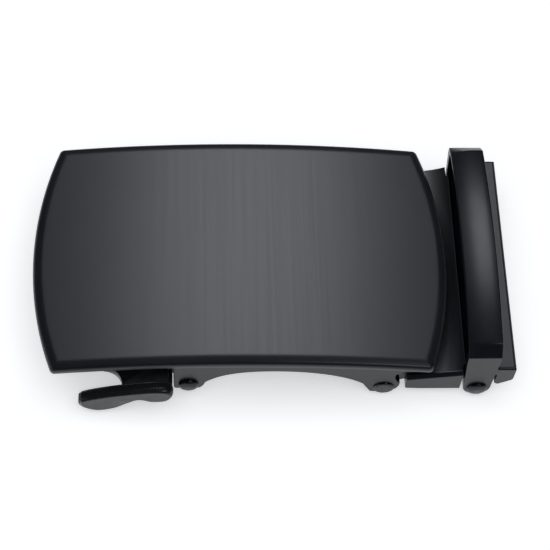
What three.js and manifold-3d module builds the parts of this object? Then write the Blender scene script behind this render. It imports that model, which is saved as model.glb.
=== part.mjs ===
// Automatic ratchet belt buckle for a 35 mm strap, in millimetres.
// The face crown is the working datum: X runs along the belt towards the tail, Y across it and Z out of the
// face, with the face's highest line at z = 0. The finished group stands on z = 0, centred on X and Y.
import * as THREE from "three";
import { mergeVertices } from "three/addons/utils/BufferGeometryUtils.js";
import Module from "manifold-3d";

// ---- driving dimensions ----
const STRAP_WIDTH = 35; // the belt that runs through the buckle
const STRAP_SIDE_ROOM = 0.3; // on each side of the strap
const BELT_ROOM = 3.6; // height of the belt's way between the chassis plate and the pawl's tooth
const GAP = 0.3; // between pieces that move past each other
const SEAT = 0.1; // between curved faces that rest on each other
const FIT = 0.1; // radial room of a pin or rivet in its hole
const EDGE_BREAK = 0.3; // corner radius of stamped plates

const FACE_LENGTH = 65.4;
const FACE_OVERHANG = 0.8; // how far the face's long edges stand out past the side walls
const FACE_RIM = 1.7; // total height of the face plate's edge
const FACE_SKIN = 1; // plate thickness over the hollow
const FACE_LIP = 1.9; // width of the rim round the hollow
const FACE_END_RISE = 3.6; // how far each end arc stands out beyond its corners
const BOW_RADIUS = 202; // the face bends round this, about an axis across the belt
const BEVEL_WIDTH = 1.3;
const BEVEL_DROP = 0.4;

const WALL = 1.4; // chassis side walls
const WEB = 1; // chassis plate under the face
const TONGUE_WIDTH = 24; // of the tongue that carries the left screws
const TONGUE_INSET = 6.7; // from the face's left end to the tongue's
const FLANGE_INSET = 4.9; // from the face's right end to the chassis plate's
const ARCH_ROOM = 1.9; // from the chassis plate down to the highest point of the walls' lower edge

const PAWL_PIN_INSET = 24.4; // from the face's left end
const HINGE_PIN_INSET = 10.4; // from the face's right end
const HINGE_PIN_BELOW_PAWL = 1.5;
const PAWL_PIN_SIZE = { radius: 0.8, head: 1.55, headHeight: 0.8 };
const HINGE_PIN_SIZE = { radius: 1.1, head: 1.65, headHeight: 0.35 };
const CLAMP_RIVET_SIZE = { radius: 1, head: 1.6, headHeight: 0.7 };
const DOWEL_SIZE = { radius: 0.6, head: 1, headHeight: 0.25, depth: 1.6 };
const PIN_METAL = 0.8; // the chassis wall below the pawl pin
const HINGE_METAL = 0.7; // the chassis wall below the hinge pin
const KNUCKLE_METAL = 1; // the tail housing round the hinge pin
const RIVET_METAL = 1.15; // the clamp's ears round their rivets

const PAWL_HUB_METAL = 0.7; // the pawl round its pin
const TOOTH_REACH = 7.1; // from the pawl pin to the tooth
const TOOTH_RISE = 2.5; // from the pawl pin up to the tooth's edge
const PAWL_PLATE = 1.2;
const SPRING_WIRE = 0.5;
const SPRING_TURNS = 5;
const SPRING_PITCH = 0.75;
const SPRING_ROOM = 0.35; // between the spring's inside and the pin

const LEVER_PLATE = 2; // thickness of the thumb piece
const LEVER_OUTSTAND = 0.3; // from the face's edge to the thumb piece
const ARM_THICKNESS = 1.8;
const NECK_WIDTH = 7.1; // along the belt
const NECK_FILLET = 3;
const NECK_RISE = 2.1; // from the pawl pin up to the neck's top

const TAIL_WALL = 1.4;
const TAIL_EAR_ROOM = 0.55; // from the housing's side walls to the clamp's lugs
const TAIL_FLOOR = 0.8;
const SOCKET_HEIGHT = 5; // room for the strap's end between the tail's floor and the clamp's roof
const RAMP_RISE = 2.9; // the ramp's top over the hinge pin
const RAMP_CLIMB = 1.4; // from the ramp's low end to its high one
const RAMP_LIP = 0.7; // thickness of the side walls where they stand over the ramp
const CHEEK = 1.4;
const CHEEK_RADIUS = 2.1;

const EAR = 1.4;
const LOOP_GAP = 1.6; // from the face's right end to the loop
const LOOP_BAR_LENGTH = 5.2; // along the belt
const LOOP_END_TOP = 1.4; // height of the loop bar's top where its round ends begin
const LOOP_CROWN = 2.1; // how much higher the bar is at its middle
const LOOP_BAR = 1.6;
const LOOP_SHOULDER = 1.2;
const EAR_TOP = -1.5;
const ROOF = 1;
const ROOF_REACH = 5.3; // from the clamp's rivets to the roof's end
const GRIP_HEIGHT = 0.5;
const GRIP_TEETH = 3;
const GRIP_PITCH = 0.65;

const SCREW = { radius: 0.75, head: 1.45, headHeight: 0.7, depth: 1.2 };
const SCREW_SLOT = { length: 2, width: 0.4, depth: 0.3 };
const SCREW_BOSS_METAL = 1.65; // the face's boss round each screw
const SCREW_INSETS = { left: 10.7, right: 13.2 }; // from the face's ends
const SCREW_EDGE = 3.5; // from the tongue's edge

// ---- values that follow ----
const WALL_INNER = STRAP_WIDTH / 2 + STRAP_SIDE_ROOM;
const WALL_OUTER = WALL_INNER + WALL;
const HALF_WIDTH = WALL_OUTER + FACE_OVERHANG;
const HALF_LENGTH = FACE_LENGTH / 2;
const END_RADIUS = (HALF_WIDTH ** 2 + FACE_END_RISE ** 2) / (2 * FACE_END_RISE);
const WEB_DEPTH = FACE_RIM + SEAT; // from the face down to the top of the chassis plate
const WEB_UNDER = WEB_DEPTH + WEB;
const TONGUE_START = TONGUE_INSET - HALF_LENGTH;
const FLANGE_END = HALF_LENGTH - FLANGE_INSET;
const SCREW_X = [SCREW_INSETS.left - HALF_LENGTH, HALF_LENGTH - SCREW_INSETS.right];
const SCREW_Y = TONGUE_WIDTH / 2 - SCREW_EDGE;

const TOOTH_TOP = -WEB_UNDER - BELT_ROOM;
const PAWL_PIN = { ...PAWL_PIN_SIZE, x: PAWL_PIN_INSET - HALF_LENGTH, z: TOOTH_TOP - TOOTH_RISE };
const HINGE_PIN = {
  ...HINGE_PIN_SIZE,
  x: HALF_LENGTH - HINGE_PIN_INSET,
  z: PAWL_PIN.z - HINGE_PIN_BELOW_PAWL,
};
const TOOTH_X = PAWL_PIN.x + TOOTH_REACH;
const PAWL_HUB = PAWL_PIN.radius + PAWL_HUB_METAL;
const PAWL_FOOT = PAWL_PIN.z - PAWL_PIN.radius - PIN_METAL; // lower edge of the walls at the pawl pin
const HINGE_FOOT = HINGE_PIN.z - HINGE_PIN.radius - HINGE_METAL;
const WALL_START = PAWL_PIN.x - PAWL_HUB - PIN_METAL; // left end of the side walls
const ARCH_TOP = -WEB_UNDER - ARCH_ROOM;
const ARCH_X = (PAWL_PIN.x + HINGE_PIN.x) / 2 - 2.3;

const DOWEL = { ...DOWEL_SIZE, x: PAWL_PIN.x + 3.9, z: PAWL_PIN.z - 0.1 };
const LEVER_INNER = HALF_WIDTH + LEVER_OUTSTAND;
const LEVER_OUTER = LEVER_INNER + LEVER_PLATE;
const NECK_RIGHT = WALL_START - GAP - EDGE_BREAK - 0.2;
const NECK_LEFT = NECK_RIGHT - NECK_WIDTH;
const NECK_TOP = PAWL_PIN.z + NECK_RISE;
const ARM_OUTER = WALL_INNER - GAP - DOWEL.headHeight;
const ARM_INNER = ARM_OUTER - ARM_THICKNESS;
const PAWL_HALF = ARM_INNER - GAP;
const DOWEL_END = PAWL_HALF - DOWEL.depth;

const KNUCKLE = HINGE_PIN.radius + KNUCKLE_METAL;
const KNUCKLE_HALF = WALL_INNER - GAP;
const TAIL_START = HINGE_PIN.x + KNUCKLE + GAP + 1; // left end of the housing's side walls
const TAIL_FLOOR_TOP = HINGE_PIN.z + 0.2;
const TAIL_FLOOR_UNDER = TAIL_FLOOR_TOP - TAIL_FLOOR;
const RAMP_TOP = HINGE_PIN.z + RAMP_RISE;
const RAMP_HALF = WALL_OUTER - RAMP_LIP;
const LOOP_LEFT = HALF_LENGTH + LOOP_GAP;
const LOOP_RIGHT = LOOP_LEFT + LOOP_BAR_LENGTH;
const LUG_RADIUS = CLAMP_RIVET_SIZE.radius + RIVET_METAL;
const CLAMP_PIVOT = { ...CLAMP_RIVET_SIZE, x: LOOP_LEFT + 2.8, z: TAIL_FLOOR_TOP - 0.6 };
const TAIL_WALL_END = CLAMP_PIVOT.x - LUG_RADIUS - TAIL_EAR_ROOM;
const TAIL_FLOOR_END = CLAMP_PIVOT.x + 3.8;
const CHEEK_OUTER = WALL_OUTER - EAR - GAP;
const CHEEK_INNER = CHEEK_OUTER - CHEEK;
const ROOF_TOP = TAIL_FLOOR_TOP + SOCKET_HEIGHT + ROOF;
const ROOF_END = CLAMP_PIVOT.x + ROOF_REACH;

const HOLE_SIDES = 24;
const BOW_SIDES = 360;
const ROUND_STEPS = 6;
const SLIVER = 0.01; // detail finer than this is dropped from a cut surface
const FAR = 60; // longer than anything here, for cutting bodies

const surfaceDrop = (x) => BOW_RADIUS - Math.sqrt(BOW_RADIUS ** 2 - x ** 2);

// ---- solids ----
const wasm = await Module();
wasm.setup();

// A closed geometry as a solid that can be joined and cut.
function solid(geometry) {
  const bare = geometry.clone();
  bare.deleteAttribute("normal");
  bare.deleteAttribute("uv");
  const merged = mergeVertices(bare, 1e-4);
  const made = new wasm.Manifold(
    new wasm.Mesh({
      numProp: 3,
      vertProperties: merged.attributes.position.array,
      triVerts: new Uint32Array(merged.index.array),
    }),
  );
  return made;
}

// A solid back as a geometry.
function geometryOf(body) {
  const { numProp, vertProperties, triVerts } = body.asOriginal().simplify(SLIVER).getMesh();
  const positions = new Float32Array((vertProperties.length / numProp) * 3);
  for (let i = 0; i * 3 < positions.length; i++) {
    positions.set(vertProperties.subarray(i * numProp, i * numProp + 3), i * 3);
  }
  const geometry = new THREE.BufferGeometry();
  geometry.setAttribute("position", new THREE.BufferAttribute(positions, 3));
  geometry.setIndex(new THREE.BufferAttribute(new Uint32Array(triVerts), 1));
  return geometry.toNonIndexed();
}

// A closed outline through corners [x, y, radius], each rounded by an arc of its radius.
function outline(corners) {
  const shape = new THREE.Shape();
  corners.forEach(([x, y, radius = 0], i) => {
    const corner = new THREE.Vector2(x, y);
    const [beforeX, beforeY] = corners.at(i - 1);
    const [afterX, afterY] = corners[(i + 1) % corners.length];
    const back = new THREE.Vector2(beforeX, beforeY).sub(corner).normalize();
    const ahead = new THREE.Vector2(afterX, afterY).sub(corner).normalize();
    const half = back.angleTo(ahead) / 2;
    const start = corner.clone().addScaledVector(back, radius / Math.tan(half));
    if (i === 0) shape.moveTo(start.x, start.y);
    else shape.lineTo(start.x, start.y);
    if (radius > 0) {
      const inward = back.clone().add(ahead).normalize();
      const centre = corner.clone().addScaledVector(inward, radius / Math.sin(half));
      const end = corner.clone().addScaledVector(ahead, radius / Math.tan(half));
      const clockwise = back.cross(ahead) > 0;
      const from = start.sub(centre).angle();
      const to = end.sub(centre).angle();
      shape.absarc(centre.x, centre.y, radius, from, to, clockwise);
    }
  });
  return shape;
}

const EXTRUDE = { bevelEnabled: false, curveSegments: ROUND_STEPS };

// A side profile (x, z) between two places across the belt.
function alongY(shape, y0, y1) {
  const geometry = new THREE.ExtrudeGeometry(shape, { ...EXTRUDE, depth: Math.abs(y1 - y0) });
  return solid(geometry.rotateX(Math.PI / 2).translate(0, Math.max(y0, y1), 0));
}

// A plan (x, y) between two heights.
function alongZ(shape, z0, z1) {
  const geometry = new THREE.ExtrudeGeometry(shape, { ...EXTRUDE, depth: z1 - z0 });
  return solid(geometry.translate(0, 0, z0));
}

// An end view (y, z) between two places along the belt.
function alongX(shape, x0, x1) {
  const geometry = new THREE.ExtrudeGeometry(shape, { ...EXTRUDE, depth: x1 - x0 });
  const turned = new THREE.Matrix4().makeBasis(
    new THREE.Vector3(0, 1, 0),
    new THREE.Vector3(0, 0, 1),
    new THREE.Vector3(1, 0, 0),
  );
  return solid(geometry.applyMatrix4(turned).translate(x0, 0, 0));
}

function block(x0, x1, y0, y1, z0, z1) {
  const geometry = new THREE.BoxGeometry(x1 - x0, y1 - y0, z1 - z0);
  return solid(geometry.translate((x0 + x1) / 2, (y0 + y1) / 2, (z0 + z1) / 2));
}

// A round bar across the belt at (x, z), between two places.
function crossBar(at, radius, y0, y1) {
  const geometry = new THREE.CylinderGeometry(radius, radius, Math.abs(y1 - y0), HOLE_SIDES);
  return solid(geometry.translate(at.x, (y0 + y1) / 2, at.z));
}

// A shell concentric with the face between two depths below it, reaching half a width to each side.
// A chamfer takes the upper edges off.
function bowed(depthTop, depthUnder, half, bevelWidth = 0, bevelDrop = 0) {
  const outer = BOW_RADIUS - depthTop;
  const inner = BOW_RADIUS - depthUnder;
  const section = [
    new THREE.Vector2(inner, -half),
    new THREE.Vector2(outer - bevelDrop, -half),
    new THREE.Vector2(outer, -half + bevelWidth),
    new THREE.Vector2(outer, half - bevelWidth),
    new THREE.Vector2(outer - bevelDrop, half),
    new THREE.Vector2(inner, half),
    new THREE.Vector2(inner, -half),
  ];
  const ring = new THREE.LatheGeometry(section, BOW_SIDES).translate(0, 0, -BOW_RADIUS);
  return solid(ring);
}

// The plan of the face: straight long sides and arc ends, drawn in by an inset.
function facePlan(inset) {
  const centre = HALF_LENGTH - END_RADIUS;
  const rounded = new THREE.CylinderGeometry(END_RADIUS - inset, END_RADIUS - inset, FAR, BOW_SIDES);
  rounded.rotateX(Math.PI / 2);
  const right = solid(rounded.clone().translate(centre, 0, 0));
  const left = solid(rounded.clone().translate(-centre, 0, 0));
  const half = HALF_WIDTH - inset;
  return right.intersect(left).intersect(block(-FAR, FAR, -half, half, -FAR, FAR));
}

// The cone that bevels one end of the face, square to the bowed face there.
function endBevel() {
  const crease = HALF_LENGTH - BEVEL_WIDTH;
  const radius = END_RADIUS - BEVEL_WIDTH;
  const slope = BEVEL_WIDTH / BEVEL_DROP;
  const above = 2;
  const below = 15;
  const cone = new THREE.CylinderGeometry(
    radius - above * slope,
    radius + below * slope,
    above + below,
    BOW_SIDES,
  );
  cone.rotateX(Math.PI / 2).translate(-radius, 0, (above - below) / 2);
  cone.rotateY(Math.asin(crease / BOW_RADIUS)).translate(crease, 0, -surfaceDrop(crease));
  return cone;
}

// A pin across the belt with a domed head at one end and a peened end at the other, or a plain end where
// the peen has no height.
function headedPin(at, reach, headHeight, peenHeight) {
  const { radius, head } = at;
  const profile = new THREE.Path();
  profile.moveTo(0, -reach - headHeight);
  profile.quadraticCurveTo(head * 0.8, -reach - headHeight, head, -reach);
  profile.lineTo(radius, -reach);
  profile.lineTo(radius, reach);
  if (peenHeight > 0) {
    profile.lineTo(head * 0.85, reach);
    profile.quadraticCurveTo(head * 0.7, reach + peenHeight, 0, reach + peenHeight);
  } else {
    profile.lineTo(0, reach);
  }
  const points = profile.getPoints(ROUND_STEPS);
  return solid(new THREE.LatheGeometry(points, HOLE_SIDES).translate(at.x, 0, at.z));
}

// A short rivet across the belt, from its head at one place to its peened end at another.
function rivet(at, yHead, yPeen, peenHeight) {
  const middle = (yHead + yPeen) / 2;
  const reach = Math.abs(yPeen - yHead) / 2;
  const made = headedPin({ ...at, x: 0, z: 0 }, reach, at.headHeight, peenHeight);
  const geometry = geometryOf(made);
  if (yHead > yPeen) geometry.rotateX(Math.PI);
  return solid(geometry.translate(at.x, middle, at.z));
}

// ---- face plate ----
function screwPlaces() {
  return SCREW_X.flatMap((x) => [-SCREW_Y, SCREW_Y].map((y) => ({ x, y })));
}

function buildFacePlate() {
  const cone = endBevel();
  let plate = bowed(0, FACE_RIM, HALF_WIDTH, BEVEL_WIDTH, BEVEL_DROP).intersect(facePlan(0));
  plate = plate.intersect(solid(cone)).intersect(solid(cone.clone().rotateZ(Math.PI)));
  let hollow = bowed(FACE_SKIN, FACE_RIM + 1, HALF_WIDTH - FACE_LIP).intersect(facePlan(FACE_LIP));
  for (const { x, y } of screwPlaces()) {
    hollow = hollow.subtract(upright(x, y, SCREW.radius + SCREW_BOSS_METAL, -FAR, FAR));
  }
  plate = plate.subtract(hollow);
  for (const { x, y } of screwPlaces()) {
    const bottom = -surfaceDrop(x) - WEB_DEPTH - 1;
    const top = -surfaceDrop(x) - FACE_RIM + SCREW.depth;
    plate = plate.subtract(upright(x, y, SCREW.radius + FIT, bottom, top));
  }
  return plate;
}

// A round hole or bar standing along Z.
function upright(x, y, radius, z0, z1) {
  const geometry = new THREE.CylinderGeometry(radius, radius, z1 - z0, HOLE_SIDES);
  return solid(geometry.rotateX(Math.PI / 2).translate(x, y, (z0 + z1) / 2));
}

// A countersunk screw standing head down, its head's face level with the plate it holds. As a cutter it is
// larger by some room and runs on below the plate.
function screwBody(x, y, room, runOut) {
  const underside = -surfaceDrop(x) - WEB_UNDER;
  const top = -surfaceDrop(x) - FACE_RIM + SCREW.depth - 2 * FIT;
  const head = SCREW.head + room;
  const shank = SCREW.radius + room;
  const profile = [
    new THREE.Vector2(0, underside - runOut),
    new THREE.Vector2(head, underside - runOut),
    new THREE.Vector2(head, underside + room),
    new THREE.Vector2(shank, underside + SCREW.headHeight + room),
    new THREE.Vector2(shank, top),
    new THREE.Vector2(0, top),
  ];
  const turned = new THREE.LatheGeometry(profile, HOLE_SIDES).rotateX(Math.PI / 2);
  return solid(turned.translate(x, y, 0));
}

function buildScrew({ x, y }) {
  const underside = -surfaceDrop(x) - WEB_UNDER;
  const { length, width, depth } = SCREW_SLOT;
  const sides = [x - length / 2, x + length / 2, y - width / 2, y + width / 2];
  return screwBody(x, y, 0, 0).subtract(block(...sides, underside - 1, underside + depth));
}

// ---- chassis ----
// Side view of a chassis wall: a lug under each pin and an arch between them for the belt to be seen and felt.
function wallProfile() {
  const corner = 0.6;
  const lugRight = PAWL_PIN.x + 2.6;
  const hingeLeft = HINGE_PIN.x - KNUCKLE;
  const hingeRight = HINGE_PIN.x + KNUCKLE + 0.3;
  const shelf = -WEB_UNDER - 2.2; // lower edge of the walls to the right of the hinge
  const shape = new THREE.Shape();
  shape.moveTo(WALL_START, 0);
  shape.lineTo(WALL_START, PAWL_FOOT + corner);
  shape.quadraticCurveTo(WALL_START, PAWL_FOOT, WALL_START + corner, PAWL_FOOT);
  shape.lineTo(lugRight - 1.2, PAWL_FOOT);
  shape.quadraticCurveTo(lugRight - 0.3, PAWL_FOOT + 0.3, lugRight, PAWL_FOOT + 2);
  shape.bezierCurveTo(lugRight + 2.2, ARCH_TOP - 1, ARCH_X - 4.7, ARCH_TOP, ARCH_X, ARCH_TOP);
  const rise = { x: hingeLeft - 1.3, z: HINGE_PIN.z + 1.2 };
  shape.bezierCurveTo(ARCH_X + 6.8, ARCH_TOP, rise.x - 2.4, rise.z + 2.4, rise.x, rise.z);
  shape.lineTo(hingeLeft, HINGE_FOOT + 0.3);
  shape.quadraticCurveTo(HINGE_PIN.x, HINGE_FOOT - 0.3, HINGE_PIN.x + 1.6, HINGE_FOOT + 0.7);
  shape.quadraticCurveTo(hingeRight + 0.2, HINGE_PIN.z, hingeRight, HINGE_PIN.z + 1.5);
  const waist = hingeRight - 1.3;
  shape.bezierCurveTo(waist + 0.2, HINGE_PIN.z + 2.4, waist - 0.2, shelf - 0.4, waist + 1.8, shelf - 0.1);
  shape.lineTo(FLANGE_END, shelf);
  shape.lineTo(FLANGE_END, 0);
  return shape;
}

function buildChassis() {
  const plan = block(WALL_START, FLANGE_END, -WALL_OUTER, WALL_OUTER, -FAR, 0);
  const tongueHalf = TONGUE_WIDTH / 2;
  const tongue = block(TONGUE_START, WALL_START + 1, -tongueHalf, tongueHalf, -FAR, 0);
  const web = bowed(WEB_DEPTH, WEB_UNDER, WALL_OUTER).intersect(plan.add(tongue));
  let chassis = web;
  for (const side of [-1, 1]) {
    const wall = alongY(wallProfile(), side * WALL_INNER, side * WALL_OUTER);
    chassis = chassis.add(wall.intersect(bowed(WEB_DEPTH, WEB_DEPTH + FAR, FAR)));
  }
  for (const pin of [PAWL_PIN, HINGE_PIN]) {
    chassis = chassis.subtract(crossBar(pin, pin.radius + FIT, -FAR, FAR));
  }
  for (const { x, y } of screwPlaces()) {
    chassis = chassis.subtract(screwBody(x, y, FIT, 1));
  }
  return chassis;
}

// ---- pawl and release lever ----
function buildPawl() {
  const half = PAWL_HALF;
  const plateUnder = PAWL_PIN.z - PAWL_HUB;
  const profile = outline([
    [PAWL_PIN.x, PAWL_PIN.z + PAWL_HUB],
    [TOOTH_X - 1.4, TOOTH_TOP - PAWL_PLATE, 0.3],
    [TOOTH_X - 0.2, TOOTH_TOP],
    [TOOTH_X + 0.1, TOOTH_TOP],
    [TOOTH_X + 0.9, plateUnder + 0.9, 0.5],
    [PAWL_PIN.x, plateUnder],
  ]);
  const hub = crossBar(PAWL_PIN, PAWL_HUB, -half, half);
  let pawl = alongY(profile, -half, half).add(hub);
  const springHalf = (SPRING_TURNS * SPRING_PITCH) / 2 + SPRING_WIRE + GAP;
  const coilRadius = PAWL_PIN.radius + SPRING_ROOM + SPRING_WIRE + GAP;
  pawl = pawl.subtract(crossBar(PAWL_PIN, coilRadius, -springHalf, springHalf));
  pawl = pawl.subtract(crossBar(PAWL_PIN, PAWL_PIN.radius + FIT, -FAR, FAR));
  return pawl.subtract(crossBar(DOWEL, DOWEL.radius + FIT, -FAR, -DOWEL_END + FIT));
}

// The thumb piece's outline round the pawl pin: a long pad to the left, a rounded lobe beside the pin.
function thumbProfile() {
  const around = [
    [-16.8, -0.1],
    [-15.9, 0.7],
    [-13.8, 1.6],
    [-10.5, 2.6],
    [-5.8, 3.5],
    [-3.2, 3.3],
    [-2.3, 1.9],
    [-3.3, 0],
    [-5.6, -0.4],
    [-7.6, 0.3],
    [-9.3, -0.8],
    [-11.4, -2.5],
    [-14.2, -3.3],
    [-16.5, -2],
    [-16.8, -0.1],
  ];
  const points = around.map(([x, z]) => new THREE.Vector2(PAWL_PIN.x + x, PAWL_PIN.z + z));
  const shape = new THREE.Shape();
  shape.moveTo(points[0].x, points[0].y);
  shape.splineThru(points.slice(1));
  return shape;
}

function buildReleaseLever() {
  const neckUnder = NECK_TOP - ARM_THICKNESS;
  const neckEnd = LEVER_INNER + LEVER_PLATE / 4; // the neck runs on into the thumb piece
  const armProfile = outline([
    [PAWL_PIN.x, PAWL_PIN.z + PAWL_HUB],
    [DOWEL.x, DOWEL.z + 1.2, 1],
    [DOWEL.x + 1.3, DOWEL.z, 0.8],
    [DOWEL.x, DOWEL.z - 1.3, 1],
    [PAWL_PIN.x, PAWL_PIN.z - PAWL_HUB],
    [NECK_RIGHT, neckUnder],
    [NECK_LEFT - NECK_FILLET, neckUnder],
    [NECK_LEFT - NECK_FILLET, NECK_TOP],
    [NECK_RIGHT, NECK_TOP],
  ]);
  const neckPlan = new THREE.Shape();
  neckPlan.moveTo(NECK_RIGHT, -ARM_INNER);
  neckPlan.lineTo(NECK_LEFT - NECK_FILLET, -ARM_INNER);
  neckPlan.lineTo(NECK_LEFT - NECK_FILLET, -ARM_OUTER);
  neckPlan.absarc(NECK_LEFT - NECK_FILLET, -ARM_OUTER - NECK_FILLET, NECK_FILLET, Math.PI / 2, 0, true);
  neckPlan.lineTo(NECK_LEFT, -neckEnd);
  neckPlan.lineTo(NECK_RIGHT, -neckEnd);
  let lever = alongY(armProfile, -ARM_OUTER, -ARM_INNER);
  lever = lever.add(crossBar(PAWL_PIN, PAWL_HUB, -ARM_OUTER, -ARM_INNER));
  lever = lever.add(alongZ(neckPlan, neckUnder, NECK_TOP));
  lever = lever.add(alongY(thumbProfile(), -LEVER_OUTER, -LEVER_INNER));
  lever = lever.subtract(crossBar(PAWL_PIN, PAWL_PIN.radius + FIT, -FAR, 0));
  return lever.subtract(crossBar(DOWEL, DOWEL.radius + FIT, -FAR, 0));
}

// The wire's line in the torsion spring on the pawl pin.
class TorsionSpring extends THREE.Curve {
  getPoint(t) {
    const radius = PAWL_PIN.radius + SPRING_ROOM + SPRING_WIRE / 2;
    const angle = (t - 0.5) * SPRING_TURNS * 2 * Math.PI;
    const y = (t - 0.5) * SPRING_TURNS * SPRING_PITCH;
    return new THREE.Vector3(
      PAWL_PIN.x - radius * Math.cos(angle),
      y,
      PAWL_PIN.z + radius * Math.sin(angle),
    );
  }
}

function buildSpring() {
  const wire = new THREE.Shape().absarc(0, 0, SPRING_WIRE / 2, 0, 2 * Math.PI);
  const steps = 14 * SPRING_TURNS;
  const coil = new THREE.ExtrudeGeometry(wire, {
    steps,
    curveSegments: 4,
    bevelEnabled: false,
    extrudePath: new TorsionSpring(),
  });
  return solid(coil);
}

// ---- tail housing ----
function buildTailHousing() {
  const underEdge = 0.3;
  const rampBend = new THREE.Vector2(TAIL_START + 5.9, RAMP_TOP - 0.1);
  const inner = new THREE.Shape();
  inner.moveTo(HINGE_PIN.x, HINGE_PIN.z + KNUCKLE);
  inner.lineTo(HINGE_PIN.x + 2, HINGE_PIN.z + KNUCKLE);
  inner.lineTo(TAIL_START + 0.4, RAMP_TOP);
  inner.lineTo(TAIL_START + 2.2, RAMP_TOP);
  inner.quadraticCurveTo(rampBend.x, rampBend.y, TAIL_WALL_END, RAMP_TOP + RAMP_CLIMB);
  inner.lineTo(TAIL_WALL_END, TAIL_FLOOR_TOP);
  inner.lineTo(TAIL_FLOOR_END, TAIL_FLOOR_TOP);
  inner.lineTo(TAIL_FLOOR_END, TAIL_FLOOR_UNDER + underEdge);
  inner.lineTo(TAIL_FLOOR_END - underEdge, TAIL_FLOOR_UNDER);
  inner.lineTo(TAIL_START, TAIL_FLOOR_UNDER);
  inner.lineTo(HINGE_PIN.x, HINGE_PIN.z - KNUCKLE);
  let tail = alongY(inner, -KNUCKLE_HALF, KNUCKLE_HALF);
  tail = tail.add(crossBar(HINGE_PIN, KNUCKLE, -KNUCKLE_HALF, KNUCKLE_HALF));
  const recessEnd = CHEEK_INNER - CLAMP_PIVOT.headHeight - GAP; // room for a rivet's peened end
  for (const side of [-1, 1]) {
    const [near, far] = [side * CHEEK_OUTER, side * FAR].sort((a, b) => a - b);
    const peenRoom = CLAMP_PIVOT.head + GAP;
    tail = tail.subtract(block(TAIL_WALL_END, FAR, near, far, -FAR, FAR));
    tail = tail.subtract(crossBar(CLAMP_PIVOT, peenRoom, side * CHEEK_INNER, side * recessEnd));
  }
  const wall = outline([
    [TAIL_START, RAMP_TOP + 0.1, EDGE_BREAK],
    [TAIL_START, TAIL_FLOOR_UNDER + 0.2, EDGE_BREAK],
    [TAIL_START + 2.4, TAIL_FLOOR_UNDER],
    [TAIL_WALL_END, TAIL_FLOOR_UNDER],
    [TAIL_WALL_END, RAMP_TOP + 1.7],
  ]);
  const cheekFoot = TAIL_FLOOR_TOP + 1.2;
  const cheek = outline([
    [CLAMP_PIVOT.x - CHEEK_RADIUS, cheekFoot, 0.8],
    [CLAMP_PIVOT.x - CHEEK_RADIUS, CLAMP_PIVOT.z],
    [CLAMP_PIVOT.x + CHEEK_RADIUS, CLAMP_PIVOT.z],
    [CLAMP_PIVOT.x + CHEEK_RADIUS, cheekFoot, 0.8],
  ]);
  const wallInside = Math.min(WALL_OUTER - TAIL_WALL, KNUCKLE_HALF - 1);
  for (const side of [-1, 1]) {
    tail = tail.add(alongY(wall, side * wallInside, side * WALL_OUTER));
    tail = tail.add(alongY(cheek, side * CHEEK_INNER, side * CHEEK_OUTER));
    tail = tail.add(crossBar(CLAMP_PIVOT, CHEEK_RADIUS, side * CHEEK_INNER, side * CHEEK_OUTER));
    const bore = CLAMP_PIVOT.radius + FIT;
    tail = tail.subtract(crossBar(CLAMP_PIVOT, bore, side * recessEnd, side * FAR));
  }
  const overRamp = new THREE.Shape(); // the strap's way between the tops of the side walls
  overRamp.moveTo(TAIL_START - GAP, RAMP_TOP);
  overRamp.lineTo(TAIL_START + 2.2, RAMP_TOP);
  overRamp.quadraticCurveTo(rampBend.x, rampBend.y, TAIL_WALL_END, RAMP_TOP + RAMP_CLIMB);
  overRamp.lineTo(TAIL_WALL_END, 0);
  overRamp.lineTo(TAIL_START - GAP, 0);
  tail = tail.subtract(alongY(overRamp, -RAMP_HALF, RAMP_HALF));
  return tail.subtract(crossBar(HINGE_PIN, HINGE_PIN.radius + FIT, -FAR, FAR));
}

// ---- clamp loop ----
// End view of the loop: an ear at each side and a cushioned bar between them.
function loopEndView() {
  const shape = new THREE.Shape();
  const inside = WALL_OUTER - EAR;
  const barHalf = WALL_OUTER - LOOP_SHOULDER;
  const foot = CLAMP_PIVOT.z - LUG_RADIUS;
  const crown = LOOP_END_TOP + 2 * LOOP_CROWN;
  const under = LOOP_END_TOP - LOOP_BAR;
  const inCorner = 1; // radius inside the loop, where an ear meets the bar
  shape.moveTo(-WALL_OUTER, foot);
  shape.lineTo(-inside, foot);
  shape.lineTo(-inside, under - inCorner);
  shape.quadraticCurveTo(-inside, under, -inside + inCorner, under);
  shape.quadraticCurveTo(0, crown - LOOP_BAR, inside - inCorner, under);
  shape.quadraticCurveTo(inside, under, inside, under - inCorner);
  shape.lineTo(inside, foot);
  shape.lineTo(WALL_OUTER, foot);
  shape.lineTo(WALL_OUTER, EAR_TOP);
  shape.quadraticCurveTo(WALL_OUTER, LOOP_END_TOP, barHalf, LOOP_END_TOP);
  shape.quadraticCurveTo(0, crown, -barHalf, LOOP_END_TOP);
  shape.quadraticCurveTo(-WALL_OUTER, LOOP_END_TOP, -WALL_OUTER, EAR_TOP);
  return shape;
}

// The roof over the strap's end, with a lip that drops in front of the strap.
function roofProfile() {
  const lipFoot = RAMP_TOP - GAP;
  const under = ROOF_TOP - ROOF;
  const shape = new THREE.Shape();
  shape.moveTo(CLAMP_PIVOT.x - LUG_RADIUS, lipFoot);
  shape.quadraticCurveTo(CLAMP_PIVOT.x - 1, ROOF_TOP, CLAMP_PIVOT.x + 0.8, ROOF_TOP);
  shape.lineTo(ROOF_END - 0.2, ROOF_TOP);
  shape.lineTo(ROOF_END, ROOF_TOP - 0.2);
  shape.lineTo(ROOF_END, under);
  shape.lineTo(CLAMP_PIVOT.x + 1.4, under);
  shape.quadraticCurveTo(CLAMP_PIVOT.x, under, CLAMP_PIVOT.x - 1, lipFoot);
  return shape;
}

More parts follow.
